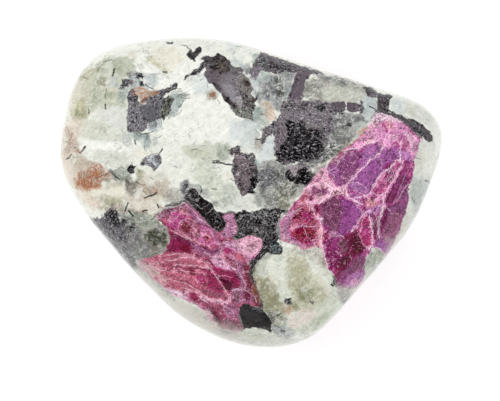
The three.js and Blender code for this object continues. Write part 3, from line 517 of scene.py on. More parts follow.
FACETS = [
    # right-hand crystal
    ("magenta", 1.5, 0.55, "277,212 292,200 320,168 346,146 372,116 420,134 412,180 408,205 386,258 336,290 322,248 290,246"),
    ("mistpink", 2.0, 0.25, "370,120 376,111 384,112 390,117 388,123 380,122 374,126 369,128"),
    ("pink", 2.5, 0.30, "384,114 398,119 406,125 410,133 404,134 397,135 390,131 386,124"),
    ("salmonlight", 2.0, 0.20, "386,120 392,122 393,129 388,128"),
    ("shell", 1.5, 0.25, "370,124 380,123 385,130 384,138 375,143 366,144 360,141 361,135 366,129"),
    ("pink", 1.5, 0.30, "371,130 380,127 384,131 383,138 375,141 371,137"),
    ("pink", 1.5, 0.30, "344,150 352,144 360,140 366,144 372,143 364,146.5 356,149 346,150.5"),
    ("pink", 1.5, 0.25, "358,139 364,132 370,131 368,138 362,142"),
    ("blushpink", 1.2, 0.50, "390,135 402,133.5 411,133 418,137 419.5,146 416,155 409,152 403,147 398,143 391,142"),
    ("magenta", 1.0, 0.30, "397,136 403,134 406,137 404,142 399,141"),
    ("rose", 1.0, 0.30, "403,142 408,141 410,145 407,148 403,147"),
    ("neckpink", 1.2, 0.50, "409,140 414,138 418,142 417,151 412,152 410,147"),
    ("violet", 1.3, 0.15, "370,144.5 378,143 385,143 387,150 381,155.5 374,159 368,164.5 361,169.5 357,166.5 360,158 363,151"),
    ("lilac", 1.8, 0.15, "366,147 373,146.5 374,153 370,159 364,161 363,154"),
    ("thistle", 1.5, 0.40, "342,153 350,150.5 358,152 363,152 360,160 358,168 355,175 350,180 344,185 338,186 333,179 329,173 328,167 333,161 338,156"),
    ("thistle", 2.0, 0.30, "346,155 357,156 355,167 347,172 340,168 341,160"),
    ("violet", 1.5, 0.45, "329,168 336,166 340,172 337,180 332,177"),
    ("violet", 1.4, 0.12, "385,150 396,147 401,151 399.5,158.5 394,163 388,168 382,173 377,179 373,186 370,192 366,194.5 357,193 352,190 350,184.5 352.5,180 357.5,173.5 363,168 370,162 377,156"),
    ("violet", 2.0, 0.15, "366,168 376,163 380,168 374,177 368,184 360,184 359,177"),
    ("violet", 1.6, 0.20, "384,152 396,149 400,154 397,160 390,165 384,163 382,157"),
    ("berry", 1.5, 0.10, "383,168 389,163 396,160 392,165 386,170"),
    ("lilac", 1.8, 0.40, "350,184 358,181 362,188 368,190 366,195 356,194 350,190"),
    ("orchid", 1.2, 0.40, "399,160 392,167 385,174 378,183 373,192 378,199 384,195 390,186 396,178 400,169 403,161"),
    ("magenta", 1.5, 0.35, "388,172 395,168 394,178 388,184 384,180"),
    ("lilac", 1.4, 0.40, "400,150 408,151 414,157 413.5,162 406,160 400,157"),
    ("magenta", 1.3, 0.12, "404,160 412,162 411.5,170 409,178 405,184 400,190 397,196 393,202 388,208 385,204 387.5,195 392,188 397,180 401,171"),
    ("plum", 1.5, 0.05, "400,176 406,178 402,186 396,190 395,184"),
    ("umber", 1.5, 0.10, "392,190 397,192 396,198 391,203 388,200"),
    ("thistle", 1.5, 0.30, "402,186 408,184 408.5,198 404,203 398,200 399,193"),
    ("thistle", 2.2, 0.15, "388,208 397,203 408,200 407,208 404,220 399,232 394,242 390,248 383,240 380,233 383,225 387,216"),
    ("mauve", 3.0, 0.12, "391,214 403,212 401,224 394,236 386,242 382,234 386,224"),
    ("violet", 2.0, 0.20, "376,241 384,240 391,246 386,256.5 380,249 376,246"),
    ("magenta", 1.5, 0.40, "352,191 367,194.5 378,199 384,200 383,210 380,219 372,222 368,216 362,211 357,204 350,199 347,194"),
    ("salmonlight", 1.8, 0.30, "367,199 377,200 378,206 371,209 366,205"),
    ("iris", 1.5, 0.45, "350,194 362,196 360,203 352,198"),
    ("iris", 1.6, 0.18, "340,199 350,201 358,205 363,212 359,219 355,225 351,230 347,235 342,238 337,232 337,222 338.5,212 340,205"),
    ("iris", 2.2, 0.12, "346,204 357,206 357,216 350,226 343,228 341,216"),
    ("slateplum", 1.8, 0.35, "322,199 332,195 341,199.5 342,212 340,224 337,233 331,230 326,226 321,219 319.5,209"),
    ("slateplum", 1.8, 0.25, "324,204 336,200 338,212 332,222 325,216"),
    ("dusty", 1.2, 0.60, "292,209 297,203 303,202 310,203.5 318,204 320,212 317,218 318,224 308,226.5 300,223 290,224 288,216"),
    ("deep", 1.0, 0.55, "294,211 300,206 304,211 300,216 294,217"),
    ("mulberry", 1.0, 0.20, "312.5,206 317,205.5 319,210 316,213 313,210"),
    ("hot", 1.2, 0.45, "302,213 310,212 314,218 308,222 302,219"),
    ("salmonlight", 1.3, 0.50, "284,224 290,222 296,226 291,232 288,238 294,242 302,246 312,245 318,240 322,249 309,250 298,247 286,243 280,238 281,228"),
    ("russet", 1.3, 0.25, "291,234 296,230 303,226.5 311,228 315.5,232 315,238 311,242 305,243.5 299,241 294,237.5"),
    ("cherry", 1.6, 0.35, "300,237 308,235 312,240 307,247 301,243"),
    ("garnet", 1.2, 0.15, "297,229 304,227 308,230 302,233 296,233"),
    ("rose", 2.0, 0.40, "278,218 285,213 290,221 291,232 288,239 281,240 278,230"),
    ("salmonlight", 1.5, 0.35, "284,240 290,239 300,246 294,246 286,243"),
    ("shell", 1.6, 0.35, "306,249 316,245 322,249 324,258 318,262 310,258"),
    ("salmonlight", 1.3, 0.45, "316,225 322,227 324,238 322.5,248 316,246 317.5,236"),
    ("crimson", 1.2, 0.45, "323,230 329,232 328,240 324,243 322,236"),
    ("neckpink", 1.8, 0.30, "328,231 336,231 338,238 330,240"),
    ("berry", 1.6, 0.40, "323,244 330,239 336,237 341,241 340,249 342,256 340,262 336,268 331,271 327,264 325,255 323,249"),
    ("magenta", 1.8, 0.15, "329,240 337,237 340,243 338,248 330,247"),
    ("berry", 1.6, 0.40, "326,256 336,254 340,260 335,268 330,269"),
    ("mulberry", 1.4, 0.35, "344,237 352,232.5 358,231.5 361,238 365.5,247 362,252.5 356,256.5 350,262 345,270 338,273 335,268 341,262 343,254 342,246"),
    ("ink", 1.3, 0.38, "353,236 359,238 364,247 360,252 354,253 350,246"),
    ("ink", 1.3, 0.38, "342,258 350,256 349,262 343,268 340,264"),
    ("ashrose", 2.0, 0.20, "339,242 346,240 348,250 344,256 340,250"),
    ("hot", 1.2, 0.20, "361.5,219 368,216.5 371,222 372.5,232 372,242 369.5,248 365.5,246 362,240 359.5,232 360,226"),
    ("orchid", 1.4, 0.35, "362,226 368,224 371,232 367,237 362,233"),
    ("berry", 1.2, 0.15, "372.5,220 378,214 384,208 388.5,211 387,219 383,228 380,236 376,241 373.5,233"),
    ("lilac", 1.5, 0.45, "366,209 374,206 382,206 380,212 374,214 368,215"),
    ("softplum", 2.5, 0.15, "337,274 345,271 350,264.5 356,258.5 362,255.5 366.5,257 366.5,268 365,278 357,287.5 345,290 337,289 335,281"),
    ("slateplum", 2.2, 0.20, "347,268 354,260 362,258 364,266 358,274 350,274"),
    ("lilac", 2.0, 0.30, "350,276 360,272 366,272 362,282 354,287.5 346,288 346,282"),
    ("pink", 1.5, 0.35, "351,280 357,278 359,283 353,287"),
    ("brown", 1.8, 0.20, "335,270 341,273 338,280 334.5,277"),
    ("shell", 1.6, 0.55, "303,189 311,182 317,175 326,171 331,180 337,186 346,187 347.5,196 338,196.5 331,196 322,202 314,205.5 305,204.5 296,204 299,197"),
    ("mauve", 1.0, 0.40, "312,188 318,187.5 320,192 315,195 311,192"),
    ("dusk", 1.0, 0.40, "321,190 327,189.5 328.5,193 323,196"),
    ("rose", 1.2, 0.45, "314,176 320,176 322,182 316,183"),
    ("brown", 1.0, 0.4, "308,193 312,195 313,200 310,202 308,198"),
    ("salmon", 1.5, 0.40, "300,196 306,192 309,198 304,203 298,203"),
    # left-hand cluster
    ("dusty", 1.5, 0.60, "136,260 156,218 186,200 216,232 236,212 262,236 246,270 260,308 240,330 220,328 204,306 158,284"),
    ("orchid", 1.3, 0.50, "168,213 176,210 187,212 187,217 181,221.5 178,228 171.5,229 166,225.5 168,219"),
    ("dusty", 1.5, 0.40, "157,219 160,213 164,210 169,211 168.5,219 166,224.5"),
    ("salmonlight", 1.3, 0.50, "176,209 184,202 190,209 194,215 186,216 180,212"),
    ("mauve", 1.5, 0.40, "185,201 192,207 199,213 206,220 213,227.5 218,233 219,243 216,244 210,236 202,228 195,222 188,214"),
    ("greyrose", 1.4, 0.40, "180,223.5 190,222 200,225 203,231 198,238 192,240.5 186,236 181,230.5"),
    ("rustred", 1.2, 0.35, "181,224 187,223 190,229 186,233 182,229"),
    ("rose", 1.4, 0.60, "200,226 208,228 215,236 218,243 211,247 203,245 197,240 200,233"),
    ("dusty", 1.2, 0.50, "203,233 210,234 214,240 208,244 203,240"),
    ("brown", 1.3, 0.20, "170,231 178,235 186,239.5 193,243 193,249 190,253 180,253 169,252 169.5,244 171.5,238"),
    ("crimson", 1.3, 0.05, "172,239 180,240 190,244 192,250 188,253 180,252 170,250.5 171,244"),
    ("deep", 1.4, 0.05, "180,246 188,246 190,251 184,252.5"),
    ("mauve", 1.5, 0.35, "190,242 198,245.5 206,249.5 214,251 218,248 220,243 225,243 224,253 214,257 204,255 196,253 192,249"),
    ("plum", 1.0, 0.2, "202,247 209,250 218,250 217,252 208,252"),
    ("salmon", 1.6, 0.30, "160,253.5 170,252.5 182,253.5 193,255.5 201,260 207,266 208,270 198,268 186,267 172,267 158,264 146,262 150,258"),
    ("salmon", 1.6, 0.40, "168,256 190,258 196,264 184,265 168,263"),
    ("salmon", 2.5, 0.30, "150,264 170,269 190,271 205,273 212,281 222,293 231,299 220,299 205,296 190,292 175,288 160,280 150,272"),
    ("salmon", 2.0, 0.35, "146,262 160,266 170,272 166,280 156,276 148,270"),
    ("salmon", 2.0, 0.30, "176,270 190,272 196,280 190,286 178,282"),
    ("deep", 1.3, 0.05, "187,269.5 195,270 194,274 188,273"),
    ("hot", 1.5, 0.30, "196,275 204,276 206,283 199,285"),
    ("crimson", 1.2, 0.15, "204,269.5 210,271 216,277 219,284 223,290 217,291 212,284 207,277"),
    ("crimson", 1.4, 0.12, "210,281 217,285 224,293 222,297 214,292 208,286"),
    ("greyrose", 1.6, 0.20, "202,288 214,291 226,295 226,298.5 214,297 202,293"),
    ("crimson", 1.2, 0.12, "212,267 222,267.5 232,270 238,276 240,282 238,288.5 232,289 231,281 224,277.5 217,275"),
    ("crimson", 1.3, 0.20, "217,269 226,270 228,275 220,274"),
    ("ink", 1.0, 0.00, "217,276.5 222,279 228,281 232.5,283.5 233,290 229.5,292 225,287.5 221,282.5"),
    ("blushpink", 1.8, 0.40, "215,256 222,257 226,262 232,266 238,270.5 232,271 224,269 216,266 211,261"),
    ("neckpink", 1.5, 0.50, "222,243 232,240 243,240 255,236 260,240 258,250 252,258 247,264 240,264 232,259 225,252"),
    ("shell", 1.8, 0.45, "236,239 246,236.5 254,235.5 262,237 263,246 258,254 250,256 242,252 238,248"),
    ("hot", 1.0, 0.35, "224,248 231,249 234,252.5 231,255 225,252"),
    ("salmon", 1.0, 0.40, "233,251.5 240,253 246,258 246,262 239,260 234,256"),
    ("mauve", 2.0, 0.45, "236,262 246,262 246,270 243,276 247,284 250,291 243,288 239,280 238,272"),
    ("shell", 1.3, 0.50, "186,289 200,296 212,300 228,301 232,304 218,304 204,302 192,298 184,293"),
    ("cherry", 1.0, 0.05, "189,294 194,292.5 198,296.5 199,299.5 194,300.5 189,299"),
    ("mistpink", 2.0, 0.35, "168,288 180,290 190,299 182,298 170,294"),
    ("greyrose", 2.5, 0.20, "204,305 212,303 220,307 224,313 223,322 218,322 211,315"),
    ("ink", 2.5, 0.15, "208,308 214,312 222,322 222,328 214,321"),
    ("mauve", 1.6, 0.40, "222,304 232,303.5 239,309 238.5,318 230,319 224,313"),
    ("ashrose", 2.0, 0.20, "221,320.5 230,319 240,322 243,327.5 234,330 226,329"),
    ("mauve", 1.2, 0.60, "232,288 246,288 253,292 259,303 250,303 244,303.5 236,303.5 231,297"),
    ("wine", 1.0, 0.25, "244,293 249.5,292 250.5,298 247,301 243,298"),
    ("ashrose", 1.0, 0.30, "233.5,292 237,291.5 239,296 237,302 234,300"),
    ("rustred", 1.2, 0.05, "254,296 258.5,298 260,306 256,306 253,301"),
    ("neckpink", 1.3, 0.40, "223.5,215.5 229,213 234,214 234.5,220 230,223 227,221"),
    ("neckpink", 1.5, 0.40, "227,223 234,222 237,229 234,236 228,238 221,236 223,230"),
    ("ashrose", 1.2, 0.60, "157,219 159,213.5 164,209.5 170,208.5 176,207.5 181,205 185,202 188,203 186,207 178,211 170,213 164,217 160,222"),
    ("pink", 1.4, 0.55, "378,134 384,131 390,135 392,143 388,149 381,147 377,141"),
    ("salmon", 2.5, 0.35, "150,266 164,268 178,274 188,282 192,290 180,288 166,282 156,275"),
    ("shell", 1.4, 0.60, "313,178 317,172 322,168 328,166 328,172 322,176 316,180"),
    ("mistpink", 1.4, 0.50, "377,111 384,112 392,115 400,118 404,122 396,122 386,119 378,116"),
    ("rustred", 1.5, 0.30, "244.5,263 249,266 249.5,274 251,280 253.5,286 256,291.5 258.5,298 260,303 256,302 251,293 247.5,286 245.5,278 244,269"),
    ("neckpink", 1.3, 0.42, "284,220 288,215 292,210 296,212 292,217 289,224 288,232 291,238 297,242 306,245 305,247 296,245 288,241 284,236 283,228"),
]

# Strokes: (width, points). Pale veins and dark cracks in the ruby, black
# needles and specks in the rock, pale veins in the rock.
VEINS = [
    (1.5, "384.5,144 383,148 380,152 374,157.5 368,162.5 363,168 358,172.5 353,178.5 350,182"),
    (1.1, "350,182 345,186.5 339,188.5"),
    (1.3, "399,159 393,165 387,170 381,175 377,180 374,187 370.5,192.5 365,196 358,198"),
    (1.2, "403,161 400.5,168 397,175 391.5,183.5 386,191 380.5,197 377,199.5"),
    (1.6, "386,192 384.5,198 383.5,206 381.5,213 380,221 378.5,229 379.5,237"),
    (1.5, "369.5,218 371,224 372.5,231 373,238 372.5,244 370,249"),
    (1.3, "352.5,231 356,226 359.5,220 363.5,214.5 369,210.5"),
    (1.3, "344,150 352,149 358,148 363,146 370,142.5 376,141"),
    (1.6, "346,187.5 347,192 348.5,198 355,200 361,203.5"),
    (1.4, "320,203 325,198.5 330,195 331,191 337,188.5"),
    (1.2, "312,205 313,210 315,215 318,218.5 322,218.5"),
    (1.4, "320,219 321,226 322.5,234 320.5,243 323,250 325,258 327.5,266"),
    (0.9, "292,228.5 300,225.5 309,227 316,226"),
    (0.9, "300,203 306,200.5 310,204 309,210.5"),
    (0.9, "286,216 293,213 301,208"),
    (1.2, "303,190 309,186 316,184 322,181 328,184 333,188"),
    (0.8, "336,157 338,163 335,168 329,171"),
    (0.8, "329,171 334,177 331,181"),
    (1.0, "385,113.5 389,118 390,126 389,133 385,139 384,144"),
    (0.9, "390,134 396,135.5 401,138"),
    (0.9, "405,133 403,139 400,144 401,150"),
    (0.9, "415,139 412,145 411,151 414,158"),
    (0.9, "409,134 408,140 412,146"),
    (1.1, "400,150 399.5,156 400,162"),
    (0.7, "412,164 408,172 404,180 400,188"),
    (0.7, "408,185 402,192 398,199"),
    (0.7, "391,170 388,177 386,184"),
    (0.8, "396,168 393,175 389,180"),
    (0.8, "355,183 361,184 366,188"),
    (0.8, "380,157 382,162 381,168"),
    (0.7, "377,181 373,184 372,188"),
    (1.0, "373,246 377,247.5 382,250.5 386,255.5"),
    (0.8, "354,201 357,207 363,212"),
    (0.8, "363,221 361,228 359.5,234 362,241 366,247"),
    (0.9, "367,256 366,262 364,268"),
    (0.7, "392,214 398,214.5"),
    (0.8, "384,206 388,208.5 391,211"),
    (0.8, "336,236 340,235 343,238"),
    (0.8, "337,252 341,255"),
    (0.8, "374,213 378,219 377,226 379,232"),
    (0.7, "304,228 306,236 311,241 316,240"),
    (0.8, "296,198 303,194 309,195"),
    (0.8, "333,161 339,160 343,156"),
    (0.7, "371,131 377,136 376,141"),
    (0.9, "372,193 378,196 383,194"),
    (0.8, "354,191 361,193 368,198 372,203"),
    (0.8, "383,206 379,214 375,222 373,229"),
    # left-hand cluster
    (0.72, "171,231 178,234 185,238 192,240.5 198,243"),
    (0.72, "178,228 180,222 186,218.5 193,221 200,222"),
    (0.80, "184,202 188,206 194,212 200,219 207,224"),
    (0.64, "169,219 174,216 171,213 176,211"),
    (0.56, "170,223 176,219 180,214 188,214"),
    (0.64, "181,231 186,236 193,241"),
    (0.88, "158,264 168,260.5 182,258 194,258 203,262 209,268 214,274 219,281.5 225,290 230,298"),
    (0.72, "160,257 172,254.5 184,254.5 194,257"),
    (0.80, "176,265.5 188,265 198,266.5 207,267.5 211,269"),
    (0.72, "150,266 160,270 170,272 182,271 192,271.5 204,273"),
    (0.56, "181,279 186,274 190,271.5"),
    (0.64, "160,279 172,280 186,284 198,290"),
    (0.80, "182,288 190,290 200,294 208,298.5 220,300 230,301"),
    (0.72, "206,253 214,257 220,256 224,262 231,268 238,270"),
    (0.80, "219,243 222,249 220,257"),
    (0.64, "224,243 231,246 239,246 244,250 248,256"),
    (0.64, "225,224 231,227 235,231"),
    (0.64, "225,217 231,219 234,216"),
    (0.64, "219,276 225,276.5 231,277.5"),
    (0.72, "232,290 238,288.5 245,290 252,294 256,302"),
    (0.56, "224,306 230,309 234,314 233,319"),
    (0.56, "222,304 224,310 228,316"),
    (0.64, "236,262 239,268 241,276 246,285"),
    (0.64, "196,216 200,220.5 206,222"),
    (0.56, "244,240 246,247 252,251 257,250"),
    (0.64, "160,215 165,217 169,221"),
    (0.56, "205,231 209,236 214,238"),
    (0.56, "192,228 196,233 202,236"),
]
CRACKS = [
    (1.0, "407,162 401,173 395,184 390,194 387,203"),
    (0.9, "411,168 405,179 398,190 393,201"),
    (0.8, "399,166 394,174 389,182"),
    (0.8, "393,168 387,176 381,185 376,192"),
    (0.9, "386,209 382,217 379,226"),
    (0.9, "374,222 372.5,214 378,206"),
    (0.9, "383,146 379.5,151.5 373,157"),
    (0.9, "397,161 391,165.5 385,171"),
    (0.8, "376,178 372.5,184 371,189"),
    (0.9, "409,178 406,183 408,187"),
    (0.9, "408,187 405,192 402,198"),
    (1.0, "357,225 354,228"),
    (1.0, "365.5,208 367,212 368,213"),
    (1.0, "378,229 379.5,235 379,239"),
    (0.8, "320,219.5 322,225 327,227.5 331,229"),
    (0.8, "330,196 333,192 337,195"),
    (0.8, "345,188 345.5,194 340,196"),
    (0.8, "374,215 377,218 376,224"),
    (0.9, "389,207 396,205.5 400,202"),
    (0.8, "350,181 343,187.5"),
    (0.7, "359,148.5 353,150.5 346,150.5"),
    (0.9, "373.5,222 375,230 376,238"),
    (0.8, "172,228.5 176,231 180,233.5"),
    (0.8, "183,239 188,242 193,243.5"),
    (0.9, "176,267.5 186,268.5 196,268 206,270"),
    (0.8, "191,252.5 196,254.5 200,257"),
    (1.2, "202,247.5 208,250.5 214,252 218,251"),
    (0.8, "203,262 208,259 213,264"),
    (0.8, "186,283 194,286 202,291"),
    (0.8, "217.5,277 221,280 226,281"),
    (0.9, "222,240.5 229,240.5 232,239"),
    (0.8, "226,257 230,261 233,264"),
    (0.8, "152,271 154.5,273.5"),
    (0.8, "203,302 207,304"),
    (0.8, "198,302.5 201,302.5"),
    (0.8, "294,212 299,208"),
    (0.8, "290,220 296,217 300,219"),
    (0.9, "169,250.5 166,252"),
    (0.8, "231,268 236,273 240,281"),
]
NEEDLES = [
    (1.4, "166,206 172,206 178,204.4 183,200.8"),
    (1.9, "112.6,75 114,70"), (1.1, "104,60.8 110,60.2"), (0.9, "106,90 105,96"),
    (1.6, "105.6,105.4 105.4,106.6"), (1.3, "88.5,109.6 88.5,110.6"), (1.0, "84,77.6 85,77.8"),
    (1.3, "146,84.6 148.5,86.5 151,87.5"), (0.9, "151.5,73.4 155,73.4"),
    (1.2, "163,72 166,72"), (2.4, "168.5,42.4 170.5,42.4"), (1.2, "236,46 239,46"),
    (1.2, "183,45 186,46 190,49"), (1.1, "179,94.5 188,94.6"), (0.9, "178,97.4 188,97.8"),
    (1.1, "183,101 181.5,104 180,106"), (1.0, "174,115.5 179,113.5 181,111"),
    (0.9, "171,93 175,91.5 180,91.2"), (0.8, "179,88.5 180,88.5"), (0.9, "201,79.6 202,78.8"),
    (0.9, "207.4,84 207.6,86"), (0.9, "218,101 219,102.4"), (0.8, "207.6,96 207.4,99"),
    (1.4, "131,130.5 137,131.5 141,133.8 147,133.4"), (1.1, "149,132.8 152,131"),
    (0.9, "160.8,118 161.5,122 160,127 161,129"), (0.9, "135.5,134 138.5,136"),
    (1.4, "135.4,141.2 135.6,142.4"), (0.9, "146.6,137 145.6,142 144,148"),
    (0.8, "154.5,136.5 158,138.5 160.5,136"), (1.5, "161,150.4 160,153.4"),
    (1.0, "144,159 148,156 152,154.2 157,154 160,156"), (1.3, "142,164.4 146,164 150,165 154,168"),
    (1.3, "97,178 103,175 109.5,172.6"), (0.9, "109.5,172.6 114,170.5 121,168.4"),
    (1.4, "112,173 115,176 118,178"), (1.1, "136.8,181.6 139,182.6"), (1.0, "142,184.6 142.8,184.8"),
    (1.0, "151,178 152,178.6"), (0.8, "145,192 146,192.6"), (1.7, "145,197.9 149,196.6 153,194.8 155.5,193.2"),
    (1.8, "125,210.5 125.4,207 127.6,203.6"), (1.9, "129.6,212 131.6,215.2"),
    (1.5, "144,210.6 145.2,210.2"), (1.6, "157.7,206.2 158.3,206.8"), (1.5, "154,217.6 152.6,219"),
    (1.0, "158,214 156,217"), (0.9, "71.6,133.4 70.6,139"), (1.1, "66.8,142 67.6,142.2"),
    (1.8, "81,152 83,150.4 84,148.4"), (1.6, "66.8,158 70,155.6"), (1.1, "75.6,147.6 76.6,148.2"),
    (1.1, "78,150.6 78.6,152"), (0.8, "75,157 79,157"), (0.8, "72.5,102.8 73,103.2"),
    (1.3, "214.4,160.4 218.4,160.6"), (1.5, "214,162.6 222,163.2 231,164.8"), (1.0, "215,168 218,168.4"),
    (0.9, "192,150 196,149"), (1.0, "198.6,150 199.6,150.4"), (0.9, "202,145.6 203,145.8"),
    (0.9, "203,158.4 203.6,158.8"), (1.0, "175.4,167 176,167.4"), (1.3, "213.6,188.6 214.6,188.8"),
    (1.2, "201,188.6 201.4,191"), (1.4, "256.6,139.4 258.4,139.8"), (0.9, "271,169.4 275,166.2"),
    (1.2, "371.6,119 374,114.6 376,111.6"), (1.7, "371,106.6 375.4,108.6"), (0.9, "331,130.4 334,133.2"),
    (1.0, "333,130 335.4,128"), (0.9, "167,204.6 176,205.8 180,203 184,201"), (0.9, "176,202.6 181,200.4"),
    (1.8, "282.4,331.6 283.6,332"), (1.0, "284,334.6 284.6,335"), (1.0, "288,338.4 288.6,338.8"),
    (1.1, "273,329 274.6,331.4"), (1.0, "276,326.4 277.4,327"), (1.7, "286.6,300.6 289,299.6"),
    (1.1, "288,303.8 288.8,303.4"), (1.2, "311,302 312,302.8"), (0.9, "334.6,295.4 335.2,295.8"),
    (1.0, "305,278.6 305.6,279.4"), (0.8, "304.4,311.6 305.4,311.6"), (0.7, "293,325 295,325.6"),
    (1.1, "418.2,158 419,158.2"), (1.4, "427.6,181.4 428.6,182"), (1.0, "413,199 414.4,202"),
    (1.1, "106.6,231.8 108,232.4"), (0.9, "152.6,255 156.4,254.2"), (1.0, "113,243 117,247"),
    (0.9, "120,252 124,256"), (1.0, "128,259 130,262"), (0.9, "163,238 166,242 163,246"),
    (0.8, "233,112 238,114.6"), (1.2, "232,179.4 233,179.8"), (0.9, "256,131 259,134"),
    (1.0, "262,114.6 265,115.4"), (1.0, "274,121 276,118"), (0.9, "264,93 266,91"),
    (1.0, "276,326 279,328"), (0.9, "385,243.4 386,244"), (1.0, "302.5,126 305,124"),
]
PALE_LINES = [
    (1.1, "346.7,102 346.3,106 346.8,111.6"), (0.9, "347,111.8 351,112.4"),
    (1.2, "301.6,96.6 304.4,101 308,98.4 312.4,95.4"), (0.8, "253.6,166 248,169 244,170.2 239,172.4"),
    (0.7, "258,211 269,219"), (0.7, "256,213.6 262,219.4"), (0.6, "262,210 272,216.6"),
    (0.7, "189,197 194,200 199,199"), (0.7, "190,205 196,204 200,208"), (0.6, "207,213 211,209"),
    (0.6, "241,219 245,214 250,215"), (0.6, "262,222 268,226 274,224"), (0.6, "252,228 258,231"),
    (1.0, "278.4,73 279.4,79.6"), (0.8, "297,72.6 294,78 291.6,84"), (0.8, "330,114.6 337,117"),
    (0.7, "243,164.6 247,166.4"), (0.9, "252,177 254,175.6"), (0.7, "268,214 275,212.4"),
    (0.7, "263,212 272,221"), (0.7, "259,216 266,222"), (0.6, "273,232 278,229"),
    (0.9, "310,76 313,73.4 318,74"), (0.9, "377,91 380,92.6 382,95"), (0.6, "276,63 283,66 287,66.4"),
    (0.6, "213,209 217,214"), (0.6, "203,208 207,205"), (0.7, "312,113.6 322,112.4"),
    (0.8, "322.6,136 323.4,136.8"), (1.8, "325.6,147.8 327.6,146.6"), (0.8, "326,172.6 328,172.4"),
    (0.8, "236,104 238,102"), (0.7, "239,72 243,72"), (0.7, "256,156 254,166"),
    (0.8, "158,123 157,128"), (0.8, "149,125 147,130"), (0.6, "292,177 296,174 299,176"),
]

EDGE_REACH = 8.0  # how far edges and strokes are measured


# ---- reading the drawing ----------------------------------------------------
def points_of(text):
    return np.array([[float(v) for v in pair.split(",")] for pair in text.split()])


def outline_distance(u, v, text, reach):
    """Distance to a closed outline, negative inside, for points within reach of it."""
    ring = points_of(text)
    low, high = ring.min(0) - reach, ring.max(0) + reach
    near = np.flatnonzero((u > low[0]) & (u < high[0]) & (v > low[1]) & (v < high[1]))
    x, y = u[near], v[near]
    best = np.full(len(near), 1e9)
    inside = np.zeros(len(near), bool)
    for (ax, ay), (bx, by) in zip(ring, np.roll(ring, -1, 0)):
        ex, ey = bx - ax, by - ay
        t = np.clip(((x - ax) * ex + (y - ay) * ey) / (ex * ex + ey * ey + 1e-9), 0, 1)
        best = np.minimum(best, (x - ax - t * ex) ** 2 + (y - ay - t * ey) ** 2)
        if ay != by:
            inside ^= ((ay > y) != (by > y)) & (x < ex * (y - ay) / ey + ax)
    distance = np.sqrt(best)
    distance[inside] *= -1
    return near, distance


def stroke_distance(u, v, strokes, reach):
    """For each point the nearest stroke: how far out of it in tenths of a
    millimetre, how far to one side of its middle line in half widths, and its width."""
    out = np.full(len(u), reach)
    side = np.full(len(u), 9.0)
    wide = np.ones(len(u))
    for width, text in strokes:
        line = points_of(text)
        for (ax, ay), (bx, by) in zip(line[:-1], line[1:]):
            low = (min(ax, bx) - reach, min(ay, by) - reach)
            high = (max(ax, bx) + reach, max(ay, by) + reach)
            near = np.flatnonzero(
                (u > low[0]) & (u < high[0]) & (v > low[1]) & (v < high[1])
            )
            x, y = u[near], v[near]
            ex, ey = bx - ax, by - ay
            along = (x - ax) * ex + (y - ay) * ey
            t = np.clip(along / (ex * ex + ey * ey), 0, 1)
            gap = np.hypot(x - ax - t * ex, y - ay - t * ey)
            across = (ex * (y - ay) - ey * (x - ax)) / math.hypot(ex, ey)
            outside = gap - width / 2
            closer = outside < out[near]
            hit = near[closer]
            out[hit] = outside[closer]
            side[hit] = np.clip(across[closer] / (width / 2), -9, 9)
            wide[hit] = width
    return out, side, wide


def cover(distance, softness):
    """1 inside an outline, 0 outside, with a soft edge."""
    t = np.clip(0.5 - distance / (2 * softness), 0, 1)
    return t * t * (3 - 2 * t)


